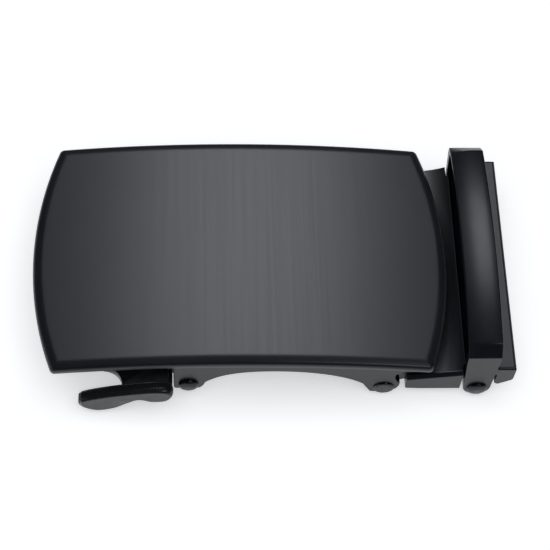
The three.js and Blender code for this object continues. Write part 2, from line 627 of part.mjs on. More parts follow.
function buildClampLoop() {
  const loop = alongX(loopEndView(), LOOP_LEFT - 1, LOOP_RIGHT + 1);
  const ears = new THREE.Shape();
  ears.moveTo(LOOP_LEFT, FAR);
  ears.lineTo(LOOP_LEFT, EAR_TOP);
  ears.lineTo(CLAMP_PIVOT.x - LUG_RADIUS, CLAMP_PIVOT.z);
  ears.absarc(CLAMP_PIVOT.x, CLAMP_PIVOT.z, LUG_RADIUS, Math.PI, 2 * Math.PI, false);
  ears.lineTo(LOOP_RIGHT - 0.2, EAR_TOP);
  ears.lineTo(LOOP_RIGHT, FAR);
  let clamp = loop.intersect(alongY(ears, -FAR, FAR));
  clamp = clamp.add(alongY(roofProfile(), -WALL_OUTER, WALL_OUTER));
  const flangeTop = ROOF_TOP - 0.4;
  const notchTop = ROOF_TOP - 2;
  const flangeFoot = TAIL_FLOOR_TOP + 0.7;
  const endFlange = outline([
    [LOOP_RIGHT - 1, flangeTop],
    [LOOP_RIGHT - 1, notchTop],
    [LOOP_RIGHT + 0.1, notchTop],
    [LOOP_RIGHT + 0.1, flangeFoot + 0.3],
    [LOOP_RIGHT + 0.7, flangeFoot],
    [ROOF_END - 0.1, flangeFoot + 1.5, 0.4],
    [ROOF_END, flangeTop],
  ]);
  for (const side of [-1, 1]) {
    clamp = clamp.add(alongY(endFlange, side * (WALL_OUTER - EAR), side * WALL_OUTER));
  }
  return clamp.subtract(crossBar(CLAMP_PIVOT, CLAMP_PIVOT.radius + FIT, -FAR, FAR));
}

// The serrated steel strip under the roof, which bites the strap's end.
function buildGripPlate() {
  const top = ROOF_TOP - ROOF - SEAT / 2;
  const right = ROOF_END - 0.3;
  const flat = 0.1; // between one tooth and the next
  const shape = new THREE.Shape();
  shape.moveTo(right, top);
  shape.lineTo(right - GRIP_TEETH * GRIP_PITCH, top);
  shape.lineTo(right - GRIP_TEETH * GRIP_PITCH, top - GRIP_HEIGHT / 2);
  for (let i = GRIP_TEETH; i > 0; i--) {
    shape.lineTo(right - i * GRIP_PITCH + flat, top - GRIP_HEIGHT / 2);
    shape.lineTo(right - (i - 1) * GRIP_PITCH - flat, top - GRIP_HEIGHT);
  }
  shape.lineTo(right, top - GRIP_HEIGHT / 2);
  const half = WALL_OUTER - EAR - GAP;
  return alongY(shape, -half, half);
}

// ---- materials and assembly ----
const finishes = {
  brushedBlack: { color: 0x2b2d31, roughness: 0.38, metalness: 0.9 },
  satinBlack: { color: 0x1d1f23, roughness: 0.5, metalness: 0.7 },
  blackSteel: { color: 0x24262a, roughness: 0.35, metalness: 0.9 },
  springSteel: { color: 0x8a8d92, roughness: 0.3, metalness: 1 },
};

function node(name, body, finish) {
  const geometry = geometryOf(body);
  geometry.computeVertexNormals();
  const mesh = new THREE.Mesh(geometry, new THREE.MeshStandardMaterial(finish));
  mesh.name = name;
  return mesh;
}

const buckle = new THREE.Group();
buckle.add(node("face_plate", buildFacePlate(), finishes.brushedBlack));
buckle.add(node("chassis", buildChassis(), finishes.satinBlack));
screwPlaces().forEach((place, i) => {
  buckle.add(node(`face_screw_${i + 1}`, buildScrew(place), finishes.blackSteel));
});
const pawlPin = headedPin(PAWL_PIN, WALL_OUTER, PAWL_PIN.headHeight, PAWL_PIN.headHeight / 2);
buckle.add(node("pawl_pin", pawlPin, finishes.blackSteel));
buckle.add(node("pawl", buildPawl(), finishes.springSteel));
buckle.add(node("release_lever", buildReleaseLever(), finishes.satinBlack));
buckle.add(node("lever_dowel", rivet(DOWEL, -ARM_OUTER, -DOWEL_END, 0), finishes.blackSteel));
buckle.add(node("pawl_spring", buildSpring(), finishes.springSteel));
const hingePin = headedPin(HINGE_PIN, WALL_OUTER, HINGE_PIN.headHeight, HINGE_PIN.headHeight);
buckle.add(node("hinge_pin", hingePin, finishes.blackSteel));
buckle.add(node("tail_housing", buildTailHousing(), finishes.satinBlack));
buckle.add(node("clamp_loop", buildClampLoop(), finishes.satinBlack));
buckle.add(node("grip_plate", buildGripPlate(), finishes.springSteel));
const peen = CLAMP_PIVOT.headHeight;
const nearRivet = rivet(CLAMP_PIVOT, -WALL_OUTER, -CHEEK_INNER, peen);
const farRivet = rivet(CLAMP_PIVOT, WALL_OUTER, CHEEK_INNER, peen);
buckle.add(node("clamp_rivet_near", nearRivet, finishes.blackSteel));
buckle.add(node("clamp_rivet_far", farRivet, finishes.blackSteel));

const box = new THREE.Box3().setFromObject(buckle);
const middle = box.getCenter(new THREE.Vector3());
buckle.position.set(-middle.x, -middle.y, -box.min.z);

export default buckle;
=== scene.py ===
"""Looks of an automatic ratchet belt buckle: face, chassis, pawl, release lever, tail and strap clamp.

Lengths are millimetres in the working frame, whose origin is the crown of the face: X runs along the belt
towards the tail, Y across it and Z out of the face. Each finished mesh is placed in the row frame, in metres.
"""

import logging
import math
from dataclasses import dataclass, field
from enum import Enum

import bmesh
import bpy
from mathutils import Matrix, Vector


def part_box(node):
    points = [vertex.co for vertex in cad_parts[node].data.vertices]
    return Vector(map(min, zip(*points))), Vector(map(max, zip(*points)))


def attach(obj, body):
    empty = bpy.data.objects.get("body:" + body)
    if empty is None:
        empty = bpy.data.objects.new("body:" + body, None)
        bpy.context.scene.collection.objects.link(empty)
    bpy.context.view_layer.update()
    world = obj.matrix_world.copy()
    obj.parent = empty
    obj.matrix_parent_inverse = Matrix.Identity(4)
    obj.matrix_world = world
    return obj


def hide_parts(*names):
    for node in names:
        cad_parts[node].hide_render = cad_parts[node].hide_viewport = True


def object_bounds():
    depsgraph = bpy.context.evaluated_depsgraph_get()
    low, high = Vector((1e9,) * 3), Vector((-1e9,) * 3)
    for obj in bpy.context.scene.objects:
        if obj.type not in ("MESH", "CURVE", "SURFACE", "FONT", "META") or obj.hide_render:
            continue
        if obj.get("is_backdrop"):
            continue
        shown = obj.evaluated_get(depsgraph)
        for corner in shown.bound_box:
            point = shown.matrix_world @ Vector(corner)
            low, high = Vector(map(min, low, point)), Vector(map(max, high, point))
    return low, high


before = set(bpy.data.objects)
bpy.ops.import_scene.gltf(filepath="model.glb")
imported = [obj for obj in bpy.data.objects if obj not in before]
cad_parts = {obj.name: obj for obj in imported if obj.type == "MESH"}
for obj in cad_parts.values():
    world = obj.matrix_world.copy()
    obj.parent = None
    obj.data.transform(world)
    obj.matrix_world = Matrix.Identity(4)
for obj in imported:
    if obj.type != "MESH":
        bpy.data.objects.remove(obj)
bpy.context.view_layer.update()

log = logging.getLogger("buckle")
MM = 0.001
HEAD_GAP = 0.02  # between the head of a pin or rivet and the metal that it rests on
SHARP = 35  # degrees: edges sharper than this stay sharp in the shading
MERGE = 0.004  # vertices closer than this are merged before edges are rounded
FLAT = 0.06  # degrees: faces that lie this near one plane are joined before edges are rounded
PAWL_HOLE = 0.9  # radii of the holes that the pins, rivets and dowel pass through
HINGE_HOLE = 1.2
RIVET_HOLE = 1.1
DOWEL_HOLE = 0.7
HEAD_RECESS = 1.9  # radius of the room for a rivet's inner head
CURVE_STEPS = 18  # samples of each curved stretch of an outline
ROUND_SIDES = 64  # sides of a turned piece
OVERRUN = 2.0  # how far a cutter runs on past what it cuts
Point = tuple[float, float]
Triple = tuple[float, float, float]
Solid = bpy.types.Object
NodeTree = bpy.types.NodeTree
Socket = bpy.types.NodeSocket


class Direction(Enum):
    """The way that an outline is carried through the metal."""

    ALONG = "x"
    ACROSS = "y"
    UP = "z"


class Body(Enum):
    """The moving bodies of the buckle."""

    FRAME = "frame"
    PAWL_SET = "pawl_set"
    TAIL = "tail"
    CLAMP = "clamp"


class Slot(Enum):
    """The record's material slots."""

    BRUSHED = "brushed_black"
    SATIN = "satin_black"
    DARK_STEEL = "black_steel"
    BRIGHT_STEEL = "bright_steel"


# ---- nodes ----
def add_node(tree: NodeTree, kind: str, links: dict, **settings: object) -> bpy.types.Node:
    """Adds a node to a tree.

    Args:
        tree: the tree.
        kind: the node's type.
        links: what goes into its inputs by name or index: a socket, a value or a list of sockets.
        settings: the node's own properties.

    Returns:
        The node.
    """
    node = tree.nodes.new(kind)
    for key, value in settings.items():
        setattr(node, key, value)
    for key, value in links.items():
        for part in value if isinstance(value, list) else [value]:
            if isinstance(part, Socket):
                tree.links.new(part, node.inputs[key])
            else:
                node.inputs[key].default_value = part
    return node


# ---- finishes ----
@dataclass(frozen=True)
class Grain:
    """A noise pattern stretched along one way of the metal.

    Attributes:
        scale: cycles per metre along X, Y and Z.
        detail: octaves of the noise.
        roughness_range: lowest and highest roughness that it gives.
        bump: height of its relief in metres.
    """

    scale: Triple
    detail: float
    roughness_range: tuple[float, float]
    bump: float


@dataclass(frozen=True)
class Finish:
    """A metal surface: its coat, its grain and the rubbed edges that handling gives it.

    Attributes:
        name: the material's name.
        slot: the record's slot that it belongs to; not used.
        colour: linear base colour.
        worn: linear colour of rubbed edges.
        metallic: 1 for bare metal, 0 for a coat.
        ior: index of refraction of the coat.
        grain: its main grain.
        mottle: how strongly slow patches change the base colour, as a share.
        wear: how far rubbed edges take on the worn colour, as a share.
    """

    name: str
    slot: Slot
    colour: Triple
    worn: Triple
    metallic: float
    ior: float
    grain: Grain
    mottle: float = 0.12
    wear: float = 0.35

    def material(self) -> bpy.types.Material:
        """Builds the node material.

        Returns:
            The material, or the one made before under the same name.
        """
        made = bpy.data.materials.get(self.name)
        if made:
            return made
        made = bpy.data.materials.new(self.name)
        made.use_nodes = True
        tree = made.node_tree
        shader = tree.nodes["Principled BSDF"]
        shader.inputs["Metallic"].default_value = self.metallic
        shader.inputs["IOR"].default_value = self.ior
        place = tree.nodes.new("ShaderNodeTexCoord").outputs["Object"]
        streaks = self._noise(tree, place, self.grain.scale, self.grain.detail)
        tree.links.new(self._roughness(tree, streaks), shader.inputs["Roughness"])
        tree.links.new(self._colour(tree, place, streaks), shader.inputs["Base Color"])
        relief = {"Distance": self.grain.bump, "Strength": 0.6, "Height": streaks}
        bump = add_node(tree, "ShaderNodeBump", relief)
        tree.links.new(bump.outputs["Normal"], shader.inputs["Normal"])
        return made

    def _noise(self, tree: NodeTree, place: Socket, scale: Triple, detail: float) -> Socket:
        """Adds a stretched noise.

        Args:
            tree: the material's tree.
            place: its texture coordinates.
            scale: cycles per metre along each axis.
            detail: octaves.

        Returns:
            The noise.
        """
        stretch = add_node(tree, "ShaderNodeMapping", {"Scale": scale, "Vector": place})
        links = {"Scale": 1, "Detail": detail, "Vector": stretch.outputs["Vector"]}
        return add_node(tree, "ShaderNodeTexNoise", links).outputs["Fac"]

    def _roughness(self, tree: NodeTree, streaks: Socket) -> Socket:
        """Lets the grain vary the roughness.

        Args:
            tree: the material's tree.
            streaks: the grain's noise.

        Returns:
            The roughness.
        """
        low, high = self.grain.roughness_range
        links = {"Value": streaks, "From Min": 0.3, "From Max": 0.7, "To Min": low, "To Max": high}
        return add_node(tree, "ShaderNodeMapRange", links).outputs["Result"]

    def _colour(self, tree: NodeTree, place: Socket, streaks: Socket) -> Socket:
        """Mottles the base colour and rubs the coat thin on its edges.

        Args:
            tree: the material's tree.
            place: its texture coordinates.
            streaks: the grain's noise.

        Returns:
            The colour.
        """
        ramp = add_node(tree, "ShaderNodeValToRGB", {"Fac": self._noise(tree, place, (90, 90, 90), 3)})
        stops = ((0.3, 1 - self.mottle), (0.7, 1 + self.mottle))
        for stop, (position, share) in zip(ramp.color_ramp.elements, stops):
            stop.position = position
            stop.color = (*(c * share for c in self.colour), 1)
        sharp = tree.nodes.new("ShaderNodeNewGeometry").outputs["Pointiness"]
        links = {"Value": sharp, "From Min": 0.54, "From Max": 0.66, "To Max": self.wear}
        edges = add_node(tree, "ShaderNodeMapRange", links).outputs["Result"]
        broken = add_node(tree, "ShaderNodeMath", {0: edges, 1: streaks}, operation="MULTIPLY")
        links = {"Factor": broken.outputs["Value"], "A": ramp.outputs["Color"], "B": (*self.worn, 1)}
        return add_node(tree, "ShaderNodeMix", links, data_type="RGBA").outputs["Result"]


FACE_COAT = Finish(
    name="brushed_black_coat",
    slot=Slot.BRUSHED,
    colour=(0.0064, 0.0082, 0.0112),
    worn=(0.05, 0.052, 0.056),
    metallic=0,
    ior=1.42,
    grain=Grain(scale=(2600, 26, 2600), detail=4, roughness_range=(0.315, 0.35), bump=0.000002),
)
CAST_COAT = Finish(
    name="satin_black_coat",
    slot=Slot.SATIN,
    colour=(0.0042, 0.0056, 0.0082),
    worn=(0.055, 0.057, 0.06),
    metallic=0,
    ior=1.36,
    grain=Grain(scale=(900, 900, 900), detail=2, roughness_range=(0.29, 0.33), bump=0.000001),
)
LEVER_COAT = Finish(
    name="glossy_black_coat",
    slot=Slot.SATIN,
    colour=(0.009, 0.0095, 0.011),
    worn=(0.12, 0.12, 0.125),
    metallic=0,
    ior=1.38,
    grain=Grain(scale=(520, 700, 520), detail=5, roughness_range=(0.12, 0.32), bump=0.00006),
    wear=0.8,
)
PIN_STEEL = Finish(
    name="blackened_steel",
    slot=Slot.DARK_STEEL,
    colour=(0.038, 0.04, 0.044),
    worn=(0.3, 0.3, 0.31),
    metallic=1,
    ior=1.5,
    grain=Grain(scale=(1200, 500, 1200), detail=4, roughness_range=(0.2, 0.36), bump=0.000005),
    wear=0.6,
)
BRIGHT_STEEL = Finish(
    name="plain_hardened_steel",
    slot=Slot.BRIGHT_STEEL,
    colour=(0.42, 0.42, 0.43),
    worn=(0.6, 0.6, 0.6),
    metallic=1,
    ior=1.5,
    grain=Grain(scale=(4000, 120, 4000), detail=4, roughness_range=(0.22, 0.4), bump=0.000004),
)


# ---- the working frame ----
@dataclass(frozen=True)
class Datum:
    """The working frame's place in the row frame.

    Attributes:
        origin: the face's crown in the row frame, in metres.
    """

    origin: Vector

    @classmethod
    def from_frame(cls) -> "Datum":
        """Finds the crown of the face plate.

        Returns:
            The datum at the middle of its top.
        """
        low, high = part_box("face_plate")
        return cls(Vector(((low.x + high.x) / 2, (low.y + high.y) / 2, high.z)))

    def box(self, node: str) -> tuple[Vector, Vector]:
        """Gives a node's box in the working frame.

        Args:
            node: the CAD node's name.

        Returns:
            Its lowest and highest corners in millimetres.
        """
        low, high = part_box(node)
        return (low - self.origin) / MM, (high - self.origin) / MM

    def centre(self, node: str) -> Vector:
        """Gives the middle of a node's box, in millimetres of the working frame."""
        low, high = self.box(node)
        return (low + high) / 2

    def matrix(self) -> Matrix:
        """Gives the matrix from the working frame to the row frame."""
        return Matrix.Translation(self.origin) @ Matrix.Scale(MM, 4)


DATUM = Datum.from_frame()
CHASSIS_LOW, CHASSIS_HIGH = DATUM.box("chassis")
FACE_HIGH = DATUM.box("face_plate")[1]
LOOP_LOW, LOOP_HIGH = DATUM.box("clamp_loop")
TAIL_HIGH = DATUM.box("tail_housing")[1]
PAWL_PIN = DATUM.centre("pawl_pin")
HINGE_PIN = DATUM.centre("hinge_pin")
CLAMP_PIVOT = DATUM.centre("clamp_rivet_near")

HALF_LENGTH = FACE_HIGH.x
HALF_WIDTH = FACE_HIGH.y
BOW_RADIUS = 202.0
FACE_RIM = 1.7
WEB_DEPTH = FACE_RIM + 0.1
WEB_UNDER = WEB_DEPTH + 1.0
WALL = 1.4
WALL_OUTER = CHASSIS_HIGH.y
WALL_INNER = WALL_OUTER - WALL
GAP = 0.3


def bow(x: float, depth: float = 0.0) -> float:
    """Gives the height of a surface concentric with the face.

    Args:
        x: the place along the belt.
        depth: how far it lies under the face.

    Returns:
        Its Z.
    """
    radius = BOW_RADIUS - depth
    return math.sqrt(radius**2 - x**2) - BOW_RADIUS


# ---- drawing and shaping ----
class Outline:
    """A closed outline drawn stretch by stretch."""

    def __init__(self, x: float, y: float) -> None:
        """Starts at a point."""
        self.points: list[Point] = [(x, y)]

    def line(self, x: float, y: float) -> "Outline":
        """Draws a straight stretch to a point."""
        self.points.append((x, y))
        return self

    def curve(self, *controls: Point, steps: int = CURVE_STEPS) -> "Outline":
        """Draws a quadratic or cubic curve.

        Args:
            controls: one or two control points and the end point.
            steps: how many samples it gets.

        Returns:
            The outline itself.
        """
        held = [Vector(self.points[-1]), *(Vector(c) for c in controls)]
        degree = len(held) - 1
        for i in range(1, steps + 1):
            t = i / steps
            weights = [math.comb(degree, k) * t**k * (1 - t) ** (degree - k) for k in range(degree + 1)]
            spot = sum((w * p for w, p in zip(weights, held)), Vector((0, 0)))
            self.points.append((spot.x, spot.y))
        return self

    def arc(
        self, centre: Point, radius: float, start: float, end: float, steps: int = CURVE_STEPS
    ) -> "Outline":
        """Draws an arc.

        Args:
            centre: its centre.
            radius: its radius.
            start: the angle where it starts, in degrees.
            end: the angle where it ends.
            steps: how many samples it gets.

        Returns:
            The outline itself.
        """
        for i in range(steps + 1):
            angle = math.radians(start + (end - start) * i / steps)
            x, y = radius * math.cos(angle), radius * math.sin(angle)
            self.points.append((centre[0] + x, centre[1] + y))
        return self

    def bowed(self, x_end: float, depth: float, steps: int = 40) -> "Outline":
        """Follows a surface concentric with the face to another place along the belt.

        Args:
            x_end: where it stops.
            depth: how far that surface lies under the face.
            steps: how many samples it gets.

        Returns:
            The outline itself.
        """
        x_start = self.points[-1][0]
        for i in range(1, steps + 1):
            x = x_start + (x_end - x_start) * i / steps
            self.points.append((x, bow(x, depth)))
        return self

    def spline(self, through: list[Point], steps: int = 10) -> "Outline":
        """Runs a smooth closed curve through points and back to the start.

        Args:
            through: the points after the start.
            steps: how many samples each stretch gets.

        Returns:
            The outline itself.
        """
        knots = [Vector(self.points[0]), *(Vector(p) for p in through)]
        count = len(knots)
        for i in range(count):
            a, b, c, d = (knots[(i + k) % count] for k in (-1, 0, 1, 2))
            for step in range(1, steps + 1):
                t = step / steps
                spot = 0.5 * (
                    2 * b + (c - a) * t + (2 * a - 5 * b + 4 * c - d) * t**2 + (3 * b - a - 3 * c + d) * t**3
                )
                self.points.append((spot.x, spot.y))
        return self

    def distinct(self) -> list[Vector]:
        """Leaves out each point that repeats the one before it.

        Returns:
            The other points, in order.
        """
        spots = [Vector(point) for point in self.points]
        return [spot for i, spot in enumerate(spots) if (spot - spots[i - 1]).length > 1e-4]


def new_object(name: str, shape: bmesh.types.BMesh) -> Solid:
    """Turns a shape into an object of the scene.

    Args:
        name: the object's name.
        shape: its mesh in the making, which is freed.

    Returns:
        The object, with doubles merged and faces outwards.
    """
    bmesh.ops.remove_doubles(shape, verts=shape.verts, dist=1e-5)
    bmesh.ops.recalc_face_normals(shape, faces=shape.faces)
    mesh = bpy.data.meshes.new(name)
    shape.to_mesh(mesh)
    shape.free()
    made = bpy.data.objects.new(name, mesh)
    bpy.context.scene.collection.objects.link(made)
    return made


def prism(outline: Outline, way: Direction, low: float, high: float) -> Solid:
    """Carries an outline through the metal.

    Args:
        outline: (x, z) for ACROSS, (x, y) for UP and (y, z) for ALONG.
        way: the direction that it is carried.
        low: where it starts.
        high: where it ends.

    Returns:
        The solid.
    """
    spots = {
        Direction.ACROSS: lambda a, b, c: (a, c, b),
        Direction.UP: lambda a, b, c: (a, b, c),
        Direction.ALONG: lambda a, b, c: (c, a, b),
    }[way]
    shape = bmesh.new()
    start, end = sorted((low, high))
    points = outline.distinct()
    rings = [[shape.verts.new(spots(a, b, c)) for a, b in points] for c in (start, end)]
    shape.faces.new(rings[0])
    shape.faces.new(rings[1])
    for i in range(len(points)):
        shape.faces.new((rings[0][i - 1], rings[0][i], rings[1][i], rings[1][i - 1]))
    return new_object("stock", shape)


def block(x: Point, y: Point, z: Point) -> Solid:
    """Makes a rectangular block between two places each way.

    Args:
        x: from and to, along the belt.
        y: from and to, across it.
        z: from and to, upwards.

    Returns:
        The solid.
    """
    plan = Outline(x[0], y[0]).line(x[1], y[0]).line(x[1], y[1]).line(x[0], y[1])
    return prism(plan, Direction.UP, *z)


def pillow(outline: Outline, y0: float, y1: float, radii: Point, steps: int = 8) -> Solid:
    """Carries a side view across the belt with well rounded edges.

    Args:
        outline: the (x, z) side view at its full size, drawn clockwise.
        y0: where it starts.
        y1: where it ends.
        radii: of the rounding at both ends, into the side view and across the belt.
        steps: facets across each rounding.

    Returns:
        The solid.
    """
    points = outline.distinct()
    count = len(points)
    inward = []
    for i in range(count):
        along = (points[(i + 1) % count] - points[i - 1]).normalized()
        inward.append(Vector((along.y, -along.x)))
    levels = []
    for i in range(steps + 1):
        angle = math.pi / 2 * i / steps
        levels.append((radii[0] * (1 - math.sin(angle)), y0 + radii[1] * (1 - math.cos(angle))))
    levels += [(inset, y1 - (y - y0)) for inset, y in reversed(levels)]
    shape = bmesh.new()
    rings = []
    for inset, y in levels:
        spots = [p + n * inset for p, n in zip(points, inward)]
        rings.append([shape.verts.new((spot.x, y, spot.y)) for spot in spots])
    for below, above in zip(rings, rings[1:]):
        for i in range(count):
            shape.faces.new((below[i - 1], below[i], above[i], above[i - 1]))
    shape.faces.new(rings[0])
    shape.faces.new(rings[-1])
    return new_object("pillow", shape)


def turned(profile: list[Point], centre: Vector, way: Direction, sides: int = ROUND_SIDES) -> Solid:
    """Turns a profile about an axis.

    Args:
        profile: (radius, place along the axis), from one end on the axis to the other.
        centre: a point on the axis.
        way: the axis, ACROSS or UP.
        sides: how many sides the piece gets.

    Returns:
        The solid.
    """
    shape = bmesh.new()
    rings = []
    for radius, along in profile:
        ring = []
        for i in range(sides):
            angle = 2 * math.pi * i / sides
            a, b = radius * math.cos(angle), radius * math.sin(angle)
            spot = (a, along, b) if way is Direction.ACROSS else (a, b, along)
            ring.append(shape.verts.new(Vector(spot) + centre))
        rings.append(ring)
    for below, above in zip(rings, rings[1:]):
        for i in range(sides):
            shape.faces.new((below[i - 1], below[i], above[i], above[i - 1]))
    bmesh.ops.dissolve_degenerate(shape, edges=shape.edges, dist=1e-6)
    return new_object("turned", shape)


def cross_bar(at: Vector, radius: float, y0: float, y1: float) -> Solid:
    """Makes a round bar across the belt.

    Args:
        at: a point on its axis.
        radius: its radius.
        y0: where it starts.
        y1: where it ends.

    Returns:
        The solid.
    """
    low, high = sorted((y0, y1))
    profile = [(0, low), (radius, low), (radius, high), (0, high)]
    return turned(profile, Vector((at.x, 0, at.z)), Direction.ACROSS)


def combine(target: Solid, operation: str, *tools: Solid) -> Solid:
    """Joins other solids to a solid or cuts them out of it, one by one. They are used up.

    Args:
        target: the solid that stays.
        operation: UNION or DIFFERENCE.
        tools: the other solids.

    Returns:
        The target.
    """
    for tool in tools:
        step = target.modifiers.new("combine", "BOOLEAN")
        step.operation = operation
        step.solver = "EXACT"
        step.object = tool
        settle(target)
        bpy.data.objects.remove(tool)
    return target


def fuse(target: Solid, *tools: Solid) -> Solid:
    """Joins solids to a target and returns it."""
    return combine(target, "UNION", *tools)


def cut(target: Solid, *tools: Solid) -> Solid:
    """Cuts solids out of a target and returns it."""
    return combine(target, "DIFFERENCE", *tools)


def settle(obj: Solid) -> None:
    """Replaces an object's mesh by what its modifiers make of it, and takes the modifiers off.

    Args:
        obj: the object.
    """
    graph = bpy.context.evaluated_depsgraph_get()
    mesh = bpy.data.meshes.new_from_object(obj.evaluated_get(graph))
    obj.modifiers.clear()
    obj.data = mesh


@dataclass(frozen=True)
class Edge:
    """How a piece's sharp edges are broken.

    Attributes:
        width: of the rounding, in millimetres.
        segments: facets across it.
        angle: edges sharper than this many degrees are broken.
    """

    width: float = 0.12
    segments: int = 3
    angle: float = 28


def soften(obj: Solid, edge: Edge) -> Solid:
    """Rounds a solid's sharp edges.

    Args:
        obj: the solid.
        edge: how its edges are broken.

    Returns:
        The same object.
    """
    shape = bmesh.new()
    shape.from_mesh(obj.data)
    bmesh.ops.remove_doubles(shape, verts=shape.verts, dist=MERGE)
    bmesh.ops.dissolve_limit(
        shape, angle_limit=math.radians(FLAT), verts=shape.verts, edges=shape.edges, delimit={"NORMAL"}
    )
    shape.to_mesh(obj.data)
    shape.free()
    bevel = obj.modifiers.new("edges", "BEVEL")
    bevel.width = edge.width
    bevel.segments = edge.segments
    bevel.limit_method = "ANGLE"
    bevel.angle_limit = math.radians(edge.angle)
    bevel.use_clamp_overlap = False
    bevel.miter_outer = "MITER_ARC"
    settle(obj)
    return obj


def hand_over(obj: Solid, name: str, finish: Finish, body: Body, *nodes: str) -> Solid:
    """Places a finished solid in the row frame, dresses it and lets it ride on its body.

    Args:
        obj: the solid in the working frame.
        name: the piece's name.
        finish: its surface.
        body: what it moves with.
        nodes: the CAD nodes that it stands for.

    Returns:
        The piece.
    """
    obj.name = name
    obj.data.name = name
    obj.data.transform(DATUM.matrix())
    obj.data.materials.clear()
    obj.data.materials.append(finish.material())
    obj.data.shade_smooth()
    obj.data.set_sharp_from_angle(angle=math.radians(SHARP))
    even = obj.modifiers.new("normals", "WEIGHTED_NORMAL")
    even.keep_sharp = True
    settle(obj)
    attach(obj, body.value)
    if nodes:
        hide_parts(*nodes)
    log.info("%s: %d faces on %s", name, len(obj.data.polygons), body.value)
    return obj


# ---- geometry node trees ----
class Tree:
    """A geometry node tree with named inputs, made up node by node."""

    def __init__(self, name: str, inputs: dict[str, float], material: bpy.types.Material) -> None:
        """Starts a tree.

        Args:
            name: the tree's name.
            inputs: its sizes by name.
            material: what its geometry is dressed in.
        """
        self.values = inputs
        self.material = material
        self.group = bpy.data.node_groups.new(name, "GeometryNodeTree")
        for key in inputs:
            self.group.interface.new_socket(key, in_out="INPUT", socket_type="NodeSocketFloat")
        self.group.interface.new_socket("Geometry", in_out="OUTPUT", socket_type="NodeSocketGeometry")
        self.start = self.group.nodes.new("NodeGroupInput")

    def size(self, name: str) -> Socket:
        """Gives one of the named inputs."""
        return self.start.outputs[name]

    def add(self, kind: str, links: dict | None = None, **settings: object) -> bpy.types.Node:
        """Adds a node.

        Args:
            kind: the node's type, without its GeometryNode prefix where it has one.
            links: what goes into its inputs by name or index, a socket or a value.
            settings: the node's own properties.

        Returns:
            The node.
        """
        full = kind if kind.startswith("ShaderNode") else "GeometryNode" + kind
        return add_node(self.group, full, links or {}, **settings)

    def math(self, operation: str, a: object, b: object = 0.0) -> Socket:
        """Adds a sum of two values.

        Args:
            operation: the name of what is done.
            a: the first value or socket.
            b: the second one.

        Returns:
            The result.
        """
        return self.add("ShaderNodeMath", {0: a, 1: b}, operation=operation).outputs[0]

    def vector(self, x: object = 0.0, y: object = 0.0, z: object = 0.0) -> Socket:
        """Puts three values together."""
        return self.add("ShaderNodeCombineXYZ", {0: x, 1: y, 2: z}).outputs[0]

    def moved(self, geometry: Socket, shift: object, turn: object = (0, 0, 0)) -> Socket:
        """Shifts and turns geometry.

        Args:
            geometry: what is moved.
            shift: how far, a socket or three numbers.
            turn: its rotation in radians about each axis.

        Returns:
            The moved geometry.
        """
        links = {"Geometry": geometry, "Translation": shift, "Rotation": turn}
        return self.add("Transform", links).outputs[0]

    def bake(self, geometry: Socket, seed: int = 7) -> Solid:
        """Ends the tree and makes a plain mesh object of it.

        Args:
            geometry: the tree's result.
            seed: kept with the tree for anything random in it.

        Returns:
            The object.
        """
        real = self.add("RealizeInstances", {"Geometry": geometry})
        dressed = self.add("SetMaterial", {"Geometry": real.outputs[0], "Material": self.material})
        end = self.group.nodes.new("NodeGroupOutput")
        self.group.links.new(dressed.outputs[0], end.inputs[0])
        carrier = bpy.data.objects.new(self.group.name, bpy.data.meshes.new(self.group.name))
        carrier["seed"] = seed
        bpy.context.scene.collection.objects.link(carrier)
        step = carrier.modifiers.new("nodes", "NODES")
        step.node_group = self.group
        for item in self.group.interface.items_tree:
            if item.in_out == "INPUT":
                step[item.identifier] = float(self.values[item.name])
        settle(carrier)
        return carrier


